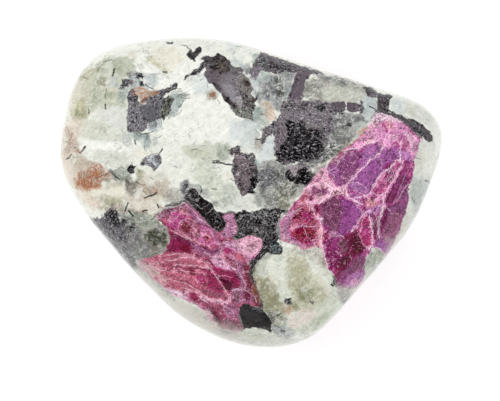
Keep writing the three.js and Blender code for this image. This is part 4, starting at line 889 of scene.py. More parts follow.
def painted(u, v, rag):
    """Everything the drawing says at each point of the plan. rag is three
    random fields, coarse to fine, that make the outlines ragged."""
    n = len(u)
    rock = np.tile(np.array([*ROCK_BASE, 0.12]), (n, 1))
    ragged = 1.6 * rag[0] + 1.9 * rag[1] + 1.4 * rag[2]
    for name, softness, strength, text, *calm in ROCK:
        near, distance = outline_distance(u, v, text, softness + 4)
        spread = min(0.45 + softness * 0.30, 2.3)
        shifted = distance - 0.8 + spread * ragged[near]
        share = (strength * cover(shifted, 0.5 + softness * 0.55))[:, None]
        tone = TONE[name]
        mottle = calm[0] if calm else min(max((0.90 - sum(tone) / 3) * 2.2, 0.1), 1.0)
        rock[near] = rock[near] * (1 - share) + np.array([*tone, mottle]) * share
    veil = np.tile(np.array([*ROCK_BASE, 0.0]), (n, 1))
    for name, softness, strength, text in VEILS:
        near, distance = outline_distance(u, v, text, softness + 4)
        share = cover(distance + 0.8 * ragged[near], softness)[:, None]
        veil[near] = veil[near] * (1 - share) + np.array([*TONE[name], strength]) * share
    haze_and_glare = np.zeros(n)
    for softness, strength, text in RIM_HAZE_AND_GLARE:
        near, distance = outline_distance(u, v, text, softness + 4)
        share = strength * cover(distance + 1.2 * ragged[near], softness)
        haze_and_glare[near] = 1 - (1 - haze_and_glare[near]) * (1 - share)
    frayed = 0.5 * rag[1] + 0.55 * rag[2]

    amph = np.full(n, EDGE_REACH)
    dark = np.tile(np.array([0.3, 0.28, 0.3, 0.5]), (n, 1))
    lie = np.tile([math.cos(ROCK_LIE), math.sin(ROCK_LIE)], (n, 1))
    fray = np.ones(n)
    for tone, blackness, angle, fraying, text in AMPH:
        near, distance = outline_distance(u, v, text, EDGE_REACH)
        distance = distance + fraying * frayed[near]
        fray[near[distance < 4]] = fraying
        amph[near] = np.minimum(amph[near], distance)
        share = cover(distance - 0.8 + 1.1 * rag[1][near], 1.3)[:, None]
        dark[near] = dark[near] * (1 - share) + np.array([*tone, blackness]) * share
        turn = math.radians(angle)
        lie[near[distance < 2.5]] = (math.cos(turn), math.sin(turn))

    ruby = np.full(n, EDGE_REACH)
    for text, angle in zip(RUBIES, RUBY_LIE):
        near, distance = outline_distance(u, v, text, EDGE_REACH)
        ruby[near] = np.minimum(ruby[near], distance + 0.7 * frayed[near])
        turn = math.radians(angle)
        lie[near[distance < 1.0]] = (math.cos(turn), math.sin(turn))
    red = np.tile(np.array([*RUBY_TONE["rose"], 0.35]), (n, 1))
    for name, softness, share, text in FACETS:
        near, distance = outline_distance(u, v, text, softness + 3)
        distance = distance + 0.9 * rag[1][near] + 0.6 * rag[2][near]
        part = cover(distance - 0.3, 0.4 + softness * 0.85)[:, None]
        red[near] = red[near] * (1 - part) + np.array([*RUBY_TONE[name], share]) * part

    lines = [
        stroke_distance(u, v, strokes, EDGE_REACH)
        for strokes in (VEINS, CRACKS, NEEDLES, PALE_LINES)
    ]
    return {"rock": rock, "dark": dark, "red": red, "lie": lie, "veil": veil, "haze_and_glare": haze_and_glare,
            "amph": amph, "ruby": ruby, "fray": fray, "lines": lines}


# ---- the stone's form -------------------------------------------------------
# The same numbers as the CAD part, in millimetres.
RIM_RADIUS = [
    17.34, 18.4, 19.5, 19.64, 18.4, 16.69, 15.42, 14.59, 14.02, 13.75, 13.77,
    13.99, 14.45, 15.11, 15.85, 16.68, 17.69, 18.94, 20.2, 20.92, 20.8, 20.29,
    19.81, 19.12, 18.0, 16.72, 15.66, 14.9, 14.38, 14.07, 13.98, 14.09, 14.27,
    14.48, 14.76, 15.06, 15.32, 15.55, 15.65, 15.48, 15.03, 14.57, 14.3, 14.3,
    14.56, 15.06, 15.78, 16.55,
]
RIM_HARMONICS = 15
CROWN_HEIGHT = 14.4
RIM_HEIGHT = [6.2, 7.2, 6.9, 5.9, 5.6, 5.9]
UPPER_SQUARENESS = [3.2, 3.9, 4.6, 4.0, 3.3, 3.1, 2.95, 2.8, 2.75, 2.9, 2.8, 2.9]
LOWER_SQUARENESS = [2.8, 3.0, 3.3, 3.1, 2.8, 2.6, 2.5, 2.6, 2.7, 2.8, 2.7, 2.7]
CORNER_FADE = 0.3
WORN_DEPTH = 0.28
SWELLS = [(0.16, 0.19, 0.08, 0.6), (0.12, -0.11, 0.23, 2.1), (0.07, 0.31, -0.27, 4.0)]
CROWN_LEAN = (0.018, -0.01)


def ring_curve(values, harmonics):
    """A smooth closed curve through evenly spaced values, as harmonics."""
    n = len(values)
    turns = 2 * np.pi * np.arange(n) / n
    terms = []
    for k in range(min(harmonics, n // 2) + 1):
        scale = (1 if k == 0 or 2 * k == n else 2) / n
        terms.append(
            (
                scale * float(np.dot(values, np.cos(k * turns))),
                scale * float(np.dot(values, np.sin(k * turns))),
            )
        )

    def curve(angle, share=1.0):
        total = 0
        for k, (c, s) in enumerate(terms):
            fade = np.power(share, CORNER_FADE * max(k - 1, 0))
            total = total + (c * np.cos(k * angle) + s * np.sin(k * angle)) * fade
        return total

    return curve


rim_radius = ring_curve(RIM_RADIUS, RIM_HARMONICS)
rim_height = ring_curve(RIM_HEIGHT, 3)
upper_squareness = ring_curve(UPPER_SQUARENESS, 4)
lower_squareness = ring_curve(LOWER_SQUARENESS, 4)


def profile(squareness, slant):
    c, s = np.abs(np.cos(slant)), np.abs(np.sin(slant))
    reach = (c**squareness + s**squareness) ** (-1 / squareness)
    return c * reach, s * reach


def upper(angle, slant):
    rim = rim_height(angle)
    out, up = profile(upper_squareness(angle), slant)
    radius = rim_radius(angle, out) * out
    x, y = radius * np.cos(angle), radius * np.sin(angle)
    swell = CROWN_LEAN[0] * x + CROWN_LEAN[1] * y
    for height, kx, ky, phase in SWELLS:
        swell = swell + height * np.sin(kx * x + ky * y + phase)
    z = rim + (CROWN_HEIGHT - rim) * up + swell * up * up
    return np.stack([x, y, z], -1)


def lower(angle, slant):
    rim = rim_height(angle)
    out, down = profile(lower_squareness(angle), slant)
    radius = rim_radius(angle, out) * out
    z = rim - (rim + WORN_DEPTH) * down
    return np.stack([radius * np.cos(angle), radius * np.sin(angle), z], -1)


SPOKES = 1440  # for measuring each ring
spokes = 2 * np.pi * np.arange(SPOKES) / SPOKES
low_slant = np.full(SPOKES, -np.pi / 2)
high_slant = np.zeros(SPOKES)
for _ in range(50):  # where the underside's curve meets the worn flat
    middle = (low_slant + high_slant) / 2
    under = lower(spokes, middle)[:, 2] < 0
    low_slant = np.where(under, middle, low_slant)
    high_slant = np.where(under, high_slant, middle)
flat_slant = (low_slant + high_slant) / 2


def ring_points(part, share, angle):
    """A ring of the surface: part is flat, lower or upper."""
    edge = np.interp(angle, np.append(spokes, 2 * np.pi), np.append(flat_slant, flat_slant[0]))
    if part == "upper":
        return upper(angle, np.full_like(angle, share * np.pi / 2))
    if part == "lower":
        return lower(angle, edge * share)
    point = lower(angle, edge) * share
    point[:, 2] = 0
    return point


def spaced(part, start, stop, step):
    """Shares from start to stop so that the rings are step millimetres apart,
    where step is a function of height."""
    shares = np.linspace(start, stop, 600)
    some = spokes[::60]
    rings = np.array([ring_points(part, share, some) for share in shares])
    hop = np.linalg.norm(np.diff(rings, axis=0), axis=2).mean(1)
    heights = rings[:, :, 2].mean(1)
    want = step((heights[1:] + heights[:-1]) / 2)
    count = np.concatenate([[0], np.cumsum(hop / want)])
    total = max(int(round(count[-1])), 2)
    return np.interp(np.linspace(0, count[-1], total + 1), count, shares)


def fineness(z):
    """Mesh size: fine on the broad face, coarser underneath."""
    face = np.clip((z - 6.5) / 4.0, 0, 1)
    base = np.clip(z / 5.0, 0, 1)
    return np.where(z > 6.5, 0.172 + (FACE_STEP - 0.172) * face, 0.30 - 0.128 * base)


FACE_STEP = 0.1305
ring_list = [("flat", s) for s in spaced("flat", 0, 1, fineness)[1:]]
ring_list += [("lower", s) for s in spaced("lower", 1, 0, fineness)[1:]]
ring_list += [("upper", s) for s in spaced("upper", 0, 1, fineness)[1:-1]]

# Each ring's points are evenly spaced along it.
dense = np.array([ring_points(part, share, spokes) for part, share in ring_list])
top_centre = upper(np.zeros(1), np.full(1, np.pi / 2))
bottom_centre = np.zeros((1, 3))
points, turns, starts = [bottom_centre], [np.zeros(1)], [0, 1]
for number, ((part, share), ring) in enumerate(zip(ring_list, dense)):
    lengths = np.linalg.norm(np.roll(ring, -1, 0) - ring, axis=1)
    around = np.concatenate([[0], np.cumsum(lengths)])
    count = max(int(round(around[-1] / float(fineness(ring[:, 2].mean())))), 7)
    first = (number * 0.6180339887) % 1.0
    want = (np.arange(count) + first) / count * around[-1]
    angle = np.interp(want, around, np.append(spokes, 2 * np.pi))
    points.append(ring_points(part, share, angle))
    turns.append(angle)
    starts.append(starts[-1] + count)
points.append(top_centre)
turns.append(np.zeros(1))
starts.append(starts[-1] + 1)
place = np.concatenate(points)
turn = np.concatenate(turns)


def zones(angle):
    """The angles at which the nearest point of a ring changes, in order, and
    the point that each one leads to."""
    after = np.append(angle[1:], angle[0] + 2 * np.pi)
    change = ((angle + after) / 2) % (2 * np.pi)
    leads = (np.arange(len(angle)) + 1) % len(angle)
    order = np.argsort(change)
    return change, change[order], leads[order]


def nearest(sorted_change, leads, at):
    return leads[np.searchsorted(sorted_change, at, side="right") - 1]


triangles = []
for a in range(len(starts) - 2):
    b = a + 1
    na, nb = starts[a + 1] - starts[a], starts[b + 1] - starts[b]
    ia, ib = np.arange(na), np.arange(nb)
    if na == 1:
        triangles.append(np.stack([starts[b] + (ib + 1) % nb, starts[b] + ib, np.full(nb, starts[a])], 1))
        continue
    if nb == 1:
        triangles.append(np.stack([starts[a] + ia, starts[a] + (ia + 1) % na, np.full(na, starts[b])], 1))
        continue
    change_a, sorted_a, leads_a = zones(turns[a])
    change_b, sorted_b, leads_b = zones(turns[b])
    triangles.append(
        np.stack(
            [starts[a] + ia, starts[a] + (ia + 1) % na, starts[b] + nearest(sorted_b, leads_b, change_a)], 1
        )
    )
    triangles.append(
        np.stack(
            [starts[b] + (ib + 1) % nb, starts[b] + ib, starts[a] + nearest(sorted_a, leads_a, change_b)], 1
        )
    )
triangles = np.concatenate(triangles)

# The middle of the box goes to the origin, as in the CAD part: its box is
# measured on 96 spokes.
coarse = np.concatenate(
    [ring_points("upper", s / 19, spokes[::15]) for s in range(20)]
    + [ring_points("lower", s / 11, spokes[::15]) for s in range(12)]
)
shift = (coarse.max(0) + coarse.min(0)) / 2
shift[2] = 0
place = place - shift
dense = dense - shift


def normals_of(position):
    corner = position[triangles]
    face = np.cross(corner[:, 1] - corner[:, 0], corner[:, 2] - corner[:, 0])
    total = np.zeros_like(position)
    for k in range(3):
        for axis in range(3):
            total[:, axis] += np.bincount(triangles[:, k], face[:, axis], len(position))
    return total / np.maximum(np.linalg.norm(total, axis=1, keepdims=True), 1e-12)


def noise(p, seed):
    """A smooth random field, about -1 to 1, with waves one unit long."""
    rng = np.random.default_rng(seed)
    table = rng.permutation(256)
    ways = rng.normal(size=(256, 3))
    ways /= np.linalg.norm(ways, axis=1, keepdims=True)
    cell = np.floor(p).astype(np.int64)
    part = p - cell
    ease = part**3 * (part * (part * 6 - 15) + 10)
    total = np.zeros(len(p))
    for dx in (0, 1):
        for dy in (0, 1):
            for dz in (0, 1):
                key = table[(cell[:, 0] + dx) & 255]
                key = table[(key + cell[:, 1] + dy) & 255]
                key = table[(key + cell[:, 2] + dz) & 255]
                weight = 1.0
                for axis, d in enumerate((dx, dy, dz)):
                    weight = weight * (ease[:, axis] if d else 1 - ease[:, axis])
                total += weight * (ways[key] * (part - (dx, dy, dz))).sum(1)
    return total * 1.6


def smooth(low, high, x):
    t = np.clip((x - low) / (high - low), 0, 1)
    return t * t * (3 - 2 * t)


# ---- laying the drawing on the stone ---------------------------------------
# The drawing is laid on from the camera's height. Below the rim its grains
# give way to others: the same drawing turned over, turned round and warped.
CAMERA = (-0.12, -0.75, 284.0)  # mm
PIXELS = 500 * 200.0 / 36.0  # picture widths per unit of slope
x, y, z = place.T
depth = CAMERA[2] - z
u = 250 + (x - CAMERA[0]) * PIXELS / depth
v = 200.5 - (y - CAMERA[1]) * PIXELS / depth

waver = 1.1 * noise(place / 0.75, 11) + 0.8 * noise(place / 0.34, 12)
sway = 1.1 * noise(place / 0.75, 13) + 0.8 * noise(place / 0.34, 14)
deep = smooth(9.0, 4.5, z)
u_top = u + waver + deep * 9 * noise(place / 4.2, 15)
v_top = v + sway + deep * 9 * noise(place / 4.2, 16)

TURNED = math.radians(128)
flip_x = -x * math.cos(TURNED) - y * math.sin(TURNED)
flip_y = -x * math.sin(TURNED) + y * math.cos(TURNED)
u_low = 251 + 9.0 * flip_x + waver + 15 * noise(place / 6.5, 17) + 5 * noise(place / 2.4, 18)
v_low = 190 - 9.0 * flip_y + sway + 15 * noise(place / 6.5, 19) + 5 * noise(place / 2.4, 20)

under = smooth(6.4, 4.0, z + 1.3 * noise(place / 3.2, 21) + 0.4 * noise(place / 1.1, 22))
above = np.flatnonzero(under < 1)
below = np.flatnonzero(under > 0)
rag = [
    noise(place / 1.15, 23) + 0.4 * noise(place / 0.62, 24),
    noise(place / 0.52, 25),
    noise(place / 0.27, 26),
]
top = painted(u_top[above], v_top[above], [field[above] for field in rag])
low = painted(u_low[below], v_low[below], [field[below] for field in rag])


def merged(name, columns, rest):
    """One field of the drawing over the whole stone."""
    one = np.full((len(place), columns), rest, dtype=float)
    two = one.copy()
    one[above] = top[name].reshape(len(above), columns)
    two[below] = low[name].reshape(len(below), columns)
    share = under[:, None]
    return one * (1 - share) + two * share


rock = merged("rock", 4, 0.9)
veil = merged("veil", 4, 0.0)
fray = merged("fray", 1, 1.0)[:, 0]
haze_and_glare = merged("haze_and_glare", 1, 0.0)[:, 0] * (1 - under)
dark = merged("dark", 4, 0.3)
red = merged("red", 4, 0.4)
amph = merged("amph", 1, EDGE_REACH)[:, 0]
ruby = merged("ruby", 1, EDGE_REACH)[:, 0]
lie = np.tile([0.8, -0.6], (len(place), 1))
kept = under[above] < 0.5
lie[above[kept]] = top["lie"][kept]
kept = under[below] >= 0.5
lie[below[kept]] = low["lie"][kept]
strokes = []
for number in range(4):
    out = np.full(len(place), EDGE_REACH)
    side = np.full(len(place), 9.0)
    wide = np.ones(len(place))
    for part, field, fade in (
        (above, top, smooth(0.1, 0.5, under[above])),
        (below, low, smooth(0.9, 0.5, under[below])),
    ):
        gap, across, width = field["lines"][number]
        gap = gap * (1 - fade) + EDGE_REACH * fade
        nearer = gap < out[part]
        out[part[nearer]] = gap[nearer]
        side[part[nearer]] = across[nearer]
        wide[part[nearer]] = width[nearer]
    strokes.append((out, side, wide))


# ---- relief -----------------------------------------------------------------
# Polishing leaves soft swells, undercuts the amphibole a little, leaves pits in
# it, and opens the cracks and grain boundaries slightly. Millimetres, outward.
def line_of(stroke, wide=1.0):
    out, side, _ = stroke
    return (1 - smooth(0.4, 1.9, np.abs(side) / wide)) * (1 - smooth(0.8, 1.8, out))


in_amph = 1 - smooth(-0.9, 0.7, amph)
in_ruby = 1 - smooth(-0.9, 0.7, ruby)
swell = 0.045 * noise(place / 3.4, 31) + 0.018 * noise(place / 1.3, 32)
grit = noise(place / 0.42, 33)
facet = noise(place * (0.45, 0.45, 0.8) + 0.35 * noise(place / 0.9, 34)[:, None], 35)
relief = swell
relief = relief - in_amph * (0.022 + 0.035 * smooth(0.15, 0.7, grit) + 0.02 * smooth(0.1, 0.6, noise(place / 0.9, 36)))
relief = relief + in_ruby * (0.03 * np.round(facet * 3) / 3 + 0.014 * grit)
relief = relief - in_ruby * (0.038 * line_of(strokes[0], 1.3) + 0.05 * line_of(strokes[1], 1.3))
relief = relief - 0.03 * line_of(strokes[2], 1.2) * (1 - in_ruby)
relief = relief - 0.014 * np.exp(-(ruby / 1.2) ** 2) - 0.010 * np.exp(-(amph / 1.2) ** 2)
relief = relief + 0.006 * grit * (1 - in_amph) * (1 - in_ruby)
relief = relief - 0.03
settled = smooth(0.0, 0.6, z)
relief = relief * settled
normal = normals_of(place)
place = place + normal * relief[:, None]
place[:, 2] = np.maximum(place[:, 2], 0)

# ---- the mesh ---------------------------------------------------------------
mesh = bpy.data.meshes.new("ruby_stone_look")
mesh.vertices.add(len(place))
mesh.vertices.foreach_set("co", (place * 0.001).ravel())
mesh.loops.add(len(triangles) * 3)
mesh.loops.foreach_set("vertex_index", triangles.ravel().astype(np.int32))
mesh.polygons.add(len(triangles))
mesh.polygons.foreach_set("loop_start", np.arange(0, len(triangles) * 3, 3, dtype=np.int32))
mesh.update(calc_edges=True)
mesh.validate()
mesh.polygons.foreach_set("use_smooth", np.ones(len(triangles), dtype=bool))


def linear(srgb):
    srgb = np.clip(srgb, 0, 1)
    return np.where(srgb <= 0.04045, srgb / 12.92, ((srgb + 0.055) / 1.055) ** 2.4)


def colours(name, tones, share):
    data = np.concatenate([linear(tones), share[:, None]], 1)
    mesh.attributes.new(name, "FLOAT_COLOR", "POINT").data.foreach_set("color", data.ravel())


def values(name, data):
    mesh.attributes.new(name, "FLOAT", "POINT").data.foreach_set("value", data.astype(np.float32))


# The fourth value of the rock is how strongly it is mottled: white grains stay calm.
grey = rock[:, :3].mean(1, keepdims=True)
colours("Rock", rock[:, :3] + 0.22 * (grey - 0.955), rock[:, 3])
colours("Veil", veil[:, :3], veil[:, 3])
values("Fray", fray)
values("HazeAndGlare", haze_and_glare)
colours("Dark", dark[:, :3], dark[:, 3])
colours("Red", np.clip(red[:, :3], 0, 1) ** (1.04, 1.42, 1.20), red[:, 3])
values("AmphEdge", amph)
values("RubyEdge", ruby)
for name, (out, side, wide) in zip(("Vein", "Crack", "Needle", "Thread"), strokes):
    values(name + "Out", out)
    values(name + "Side", side)
    values(name + "Width", wide)
mesh.attributes.new("Lie", "FLOAT_VECTOR", "POINT").data.foreach_set(
    "vector", np.concatenate([lie, np.zeros((len(place), 1))], 1).ravel()
)

# UV map: the face unrolled from its middle, and the underside beside it,
# smaller. Distances along each spoke are true.
first_upper = next(i for i, (part, _) in enumerate(ring_list) if part == "upper")
hops = np.linalg.norm(np.diff(dense, axis=0), axis=2)
to_top = np.linalg.norm(dense[-1] - (top_centre - shift), axis=1)
from_top = np.zeros(dense.shape[:2])
from_top[-1] = to_top
for i in range(len(dense) - 2, -1, -1):
    from_top[i] = from_top[i + 1] + hops[i]
from_bottom = np.zeros(dense.shape[:2])
from_bottom[0] = np.linalg.norm(dense[0] - (bottom_centre - shift), axis=1)
for i in range(1, len(dense)):
    from_bottom[i] = from_bottom[i - 1] + hops[i - 1]


def unrolled(table, index):
    """Unrolled plan position of the points of ring index, from a distance table."""
    angle = turns[index + 1]
    far = np.interp(angle, np.append(spokes, 2 * np.pi), np.append(table[index], table[index][0]))
    return np.stack([far * np.cos(angle), far * np.sin(angle)], 1)


flat_top = np.zeros((len(place), 2))
flat_low = np.zeros((len(place), 2))
for i in range(len(ring_list)):
    span = slice(starts[i + 1], starts[i + 2])
    if i >= first_upper - 1:
        flat_top[span] = unrolled(from_top, i)
    if i <= first_upper - 1:
        flat_low[span] = unrolled(from_bottom, i)
TOP_SCALE, LOW_SCALE = 17.6 / 1024, 8.4 / 1024  # map widths per millimetre
rim_start = starts[first_upper]
on_top = triangles.min(1) >= rim_start
used = np.unique(triangles[on_top])
top_low, top_high = flat_top[used].min(0), flat_top[used].max(0)
used = np.unique(triangles[~on_top])
low_low, low_high = flat_low[used].min(0), flat_low[used].max(0)
gap = 6 / 1024
uv_top = (flat_top - top_low) * TOP_SCALE + gap
uv_low = (flat_low - low_low) * LOW_SCALE + gap
uv_low[:, 1] += (top_high[1] - top_low[1]) * TOP_SCALE + 2 * gap
print("uv top", (top_high - top_low) * TOP_SCALE, "low", (low_high - low_low) * LOW_SCALE)
uv = np.where(on_top[:, None, None], uv_top[triangles], uv_low[triangles])
layer = mesh.uv_layers.new(name="OFBake")
layer.data.foreach_set("uv", uv.reshape(-1).astype(np.float32))

stone = bpy.data.objects.new("ruby_stone_look", mesh)
bpy.context.scene.collection.objects.link(stone)
print("stone", len(place), "points", len(triangles), "triangles")


# ---- the material -----------------------------------------------------------
material = bpy.data.materials.new("polished_ruby_rock")
material.use_nodes = True
tree = material.node_tree
tree.nodes.clear()


def link(value, socket):
    if isinstance(value, bpy.types.NodeSocket):
        tree.links.new(value, socket)
    else:
        socket.default_value = value


def maths(operation, a, b=0.0, c=0.0, clamp=False):
    node = tree.nodes.new("ShaderNodeMath")
    node.operation, node.use_clamp = operation, clamp
    for value, socket in zip((a, b, c), node.inputs):
        link(value, socket)
    return node.outputs[0]


def add(a, b):
    return maths("ADD", a, b)


def mul(a, b):
    return maths("MULTIPLY", a, b)


def step(value, low, high, start=0.0, stop=1.0):
    """Eases from start to stop as value goes from low to high."""
    node = tree.nodes.new("ShaderNodeMapRange")
    node.interpolation_type = "SMOOTHSTEP"
    for data, name in ((value, "Value"), (low, "From Min"), (high, "From Max"), (start, "To Min"), (stop, "To Max")):
        link(data, node.inputs[name])
    return node.outputs[0]


def mix(share, a, b, kind="MIX"):
    node = tree.nodes.new("ShaderNodeMix")
    node.data_type, node.blend_type = "RGBA", kind
    link(share, node.inputs[0])
    link(a, node.inputs[6])
    link(b, node.inputs[7])
    return node.outputs[2]


def blend(share, a, b):
    node = tree.nodes.new("ShaderNodeMix")
    node.data_type = "FLOAT"
    for value, index in ((share, 0), (a, 2), (b, 3)):
        link(value, node.inputs[index])
    return node.outputs[0]


def vector(operation, a, b=None, scale=None):
    node = tree.nodes.new("ShaderNodeVectorMath")
    node.operation = operation
    link(a, node.inputs[0])
    if b is not None:
        link(b, node.inputs[1])
    if scale is not None:
        link(scale, node.inputs["Scale"])
    return node.outputs["Value" if operation in ("DOT_PRODUCT", "LENGTH") else "Vector"]


def cloud(where, scale, detail=2.0, rough=0.5, distortion=0.0, colour=False):
    node = tree.nodes.new("ShaderNodeTexNoise")
    link(where, node.inputs["Vector"])
    node.inputs["Scale"].default_value = scale
    node.inputs["Detail"].default_value = detail
    node.inputs["Roughness"].default_value = rough
    node.inputs["Distortion"].default_value = distortion
    return node.outputs["Color" if colour else 0]


def cells(where, scale, feature="F1", out="Distance", randomness=1.0):
    node = tree.nodes.new("ShaderNodeTexVoronoi")
    node.feature = feature
    link(where, node.inputs["Vector"])
    node.inputs["Scale"].default_value = scale
    node.inputs["Randomness"].default_value = randomness
    return node.outputs[out]


def attribute(name, out="Fac"):
    node = tree.nodes.new("ShaderNodeAttribute")
    node.attribute_name = name
    return node.outputs[out]


def rgb(r, g, b):
    return tuple(float(c) for c in linear(np.array([r, g, b]))) + (1.0,)


def brighten(colour, factor):
    return vector("SCALE", colour, scale=factor)


texture = tree.nodes.new("ShaderNodeTexCoord")
mm = vector("SCALE", texture.outputs["Object"], scale=1000.0)
wobble = vector("SCALE", vector("SUBTRACT", cloud(mm, 2.2, 3, 0.6, colour=True), (0.5, 0.5, 0.5)), scale=0.55)
bent = vector("ADD", mm, wobble)  # the same place, pushed about by noise

# Lie of the grain: along and across it.
lie_attribute = attribute("Lie", "Vector")
turned = tree.nodes.new("ShaderNodeVectorRotate")
turned.rotation_type = "Z_AXIS"
link(lie_attribute, turned.inputs["Vector"])
turned.inputs["Angle"].default_value = math.pi / 2
along = vector("DOT_PRODUCT", bent, lie_attribute)
across = vector("DOT_PRODUCT", bent, turned.outputs[0])
height = tree.nodes.new("ShaderNodeSeparateXYZ")
link(bent, height.inputs[0])


def laid(stretch_along, stretch_across):
    node = tree.nodes.new("ShaderNodeCombineXYZ")
    link(mul(along, stretch_along), node.inputs[0])
    link(mul(across, stretch_across), node.inputs[1])
    link(mul(height.outputs[2], (stretch_along + stretch_across) / 2), node.inputs[2])
    return node.outputs[0]


# Ragged edges.
rag = add(mul(add(cloud(mm, 2.6, 3, 0.65), -0.5), 5.0), mul(add(cloud(mm, 8.0, 3, 0.7), -0.5), 4.5))


rag_other = mul(add(cloud(vector("ADD", mm, (5.2, 9.1, 3.3)), 5.0, 3, 0.7), -0.5), 5.0)


def stroke(name, width=1.0, ragged=0.45, wander=0.0):
    """1 on the strokes of that name."""
    side = maths("ABSOLUTE", add(attribute(name + "Side"), mul(rag_other, wander)))
    out = attribute(name + "Out")
    near = step(add(side, mul(rag, ragged)), 0.68 * width, 1.32 * width, 1.0, 0.0)
    return mul(near, step(out, 0.9, 1.9, 1.0, 0.0))


# Feldspar: the drawn tones, mottled, with sugary white and grey-green shadows.
tone = attribute("Rock", "Color")
mottled = attribute("Rock", "Alpha")
mid = cloud(bent, 1.5, 5, 0.66)
fine = cloud(bent, 5.0, 4, 0.70, 0.3)
streak = cloud(laid(0.7, 4.2), 1.0, 4, 0.6)
middle = add(mid, -0.5)
little = add(fine, -0.5)
gain = add(1.0, add(mul(middle, add(0.20, mul(mottled, 0.95))), mul(little, add(0.14, mul(mottled, 0.80)))))
gain = add(gain, mul(add(streak, -0.5), 0.42))
pixel = cloud(vector("ADD", mm, (3.9, 0.4, 6.6)), 5.5, 1, 0.80)
gain = add(gain, mul(add(pixel, -0.5), add(0.12, mul(mottled, 0.70))))
rock_colour = vector("MULTIPLY", brighten(tone, gain), (0.985, 1.0, 0.955))
shade = step(add(mid, mul(little, 0.45)), 0.50, 0.36)
rock_colour = mix(mul(mul(shade, mottled), 0.55), rock_colour, rgb(0.36, 0.38, 0.36))
sugar = step(add(fine, mul(middle, 0.35)), 0.53, 0.63)
rock_colour = mix(mul(sugar, add(0.05, mul(mottled, 0.34))), rock_colour, rgb(0.93, 0.94, 0.92))
tint = cloud(bent, 2.1, 4, 0.62)
rock_colour = mix(mul(step(tint, 0.53, 0.68), 0.20), rock_colour, rgb(0.70, 0.74, 0.66))
hair = maths("ABSOLUTE", add(cloud(mm, 0.75, 4, 0.55, 0.6), -0.5))
hair = mul(step(hair, 0.004, 0.016, 1.0, 0.0), step(cloud(mm, 0.42, 2), 0.48, 0.60))
rock_colour = mix(mul(hair, 0.42), rock_colour, rgb(0.36, 0.38, 0.36))
thread = maths("ABSOLUTE", add(cloud(laid(0.5, 1.3), 1.0, 4, 0.55, 0.4), -0.5))
thread = mul(step(thread, 0.006, 0.024, 1.0, 0.0), step(cloud(mm, 0.6, 2), 0.46, 0.58))
rock_colour = mix(mul(thread, 0.45), rock_colour, rgb(0.97, 0.97, 0.95))
swirl = cloud(mm, 1.1, 5, 0.64, 1.3)
patch = cloud(vector("ADD", mm, (2.2, 7.4, 5.1)), 1.3, 3, 0.6)
rock_colour = mix(mul(step(swirl, 0.56, 0.68), 0.30), rock_colour, rgb(0.95, 0.95, 0.94))
rock_colour = mix(mul(mul(step(swirl, 0.44, 0.33), mottled), 0.30), rock_colour, rgb(0.45, 0.47, 0.46))
ridge = maths("ABSOLUTE", add(cloud(laid(1.2, 3.0), 1.0, 6, 0.72, 0.5), -0.5))
rock_colour = mix(mul(mul(mul(step(ridge, 0.012, 0.045, 1.0, 0.0), step(patch, 0.56, 0.42)), add(0.15, mottled)), 0.60), rock_colour, rgb(0.95, 0.96, 0.94))
crease = maths("ABSOLUTE", add(cloud(vector("ADD", mm, (8.8, 3.1, 0.9)), 2.4, 6, 0.74, 0.4), -0.5))
crease = mul(step(crease, 0.010, 0.040, 1.0, 0.0), step(patch, 0.46, 0.60))
rock_colour = mix(mul(mul(crease, mottled), 0.74), rock_colour, rgb(0.40, 0.42, 0.40))
speck = mul(step(cloud(mm, 8.0, 2, 0.6), 0.645, 0.70), step(add(cloud(mm, 0.9, 2), mul(mottled, 0.10)), 0.50, 0.62))
rock_colour = mix(mul(speck, 0.75), rock_colour, rgb(0.25, 0.26, 0.26))
rock_colour = mix(mul(stroke("Thread", 1.0, 0.9), 0.45), rock_colour, rgb(0.98, 0.98, 0.96))
snapped = step(cloud(mm, 5.0, 3, 0.7), 0.34, 0.46, 0.45, 1.0)
thick = step(attribute("NeedleWidth"), 0.8, 1.6, 0.50, 1.0)
rock_colour = mix(mul(mul(stroke("Needle", 1.0, 0.30), mul(snapped, thick)), 0.94), rock_colour, rgb(0.11, 0.11, 0.12))

# Amphibole: fibrous, from violet grey to black, with pale specks and a painted sheen along the fibres.
dark_tone = attribute("Dark", "Color")
blackness = attribute("Dark", "Alpha")
fibre = cloud(laid(1.1, 5.0), 1.0, 5, 0.68)
clot = cloud(bent, 1.9, 5, 0.66, 0.3)
salt = cloud(mm, 6.5, 1, 0.8)
level = add(mul(add(fibre, -0.5), 2.4), add(mul(add(clot, -0.5), 3.6), mul(blackness, 0.90)))
speckled = step(attribute("Fray"), 0.45, 0.90)  # smooth laths, broken masses
contrast = add(mul(add(clot, -0.5), 3.4), add(mul(add(fibre, -0.5), 3.2), mul(add(salt, -0.5), 3.0)))
amph_colour = brighten(dark_tone, add(1.14, mul(contrast, add(0.25, mul(speckled, 0.75)))))
amph_colour = mix(mul(step(level, 0.52, 0.64), 0.95), amph_colour, rgb(0.035, 0.025, 0.030))
# Painted sheen: pale streaks along the fibres stand in for the silvery shine of the polished amphibole.
glint = step(add(cloud(laid(2.2, 8.0), 1.0, 4, 0.74), mul(add(clot, -0.5), 0.35)), 0.57, 0.64)
amph_colour = mix(mul(glint, mul(speckled, 0.68)), amph_colour, rgb(0.64, 0.62, 0.65))
# Pale flecks and short streaks along the fibres.
pale_flecks = cloud(laid(2.4, 6.0), 1.0, 2, 0.7)
pale_flecks = maths("MAXIMUM", step(add(pale_flecks, mul(add(clot, -0.5), -0.3)), 0.60, 0.66), mul(step(salt, 0.66, 0.72), 0.8))
amph_colour = mix(mul(pale_flecks, mul(speckled, 0.72)), amph_colour, rgb(0.80, 0.79, 0.81))
amph_colour = mix(mul(stroke("Thread", 0.9, 0.9), 0.35), amph_colour, rgb(0.80, 0.80, 0.80))

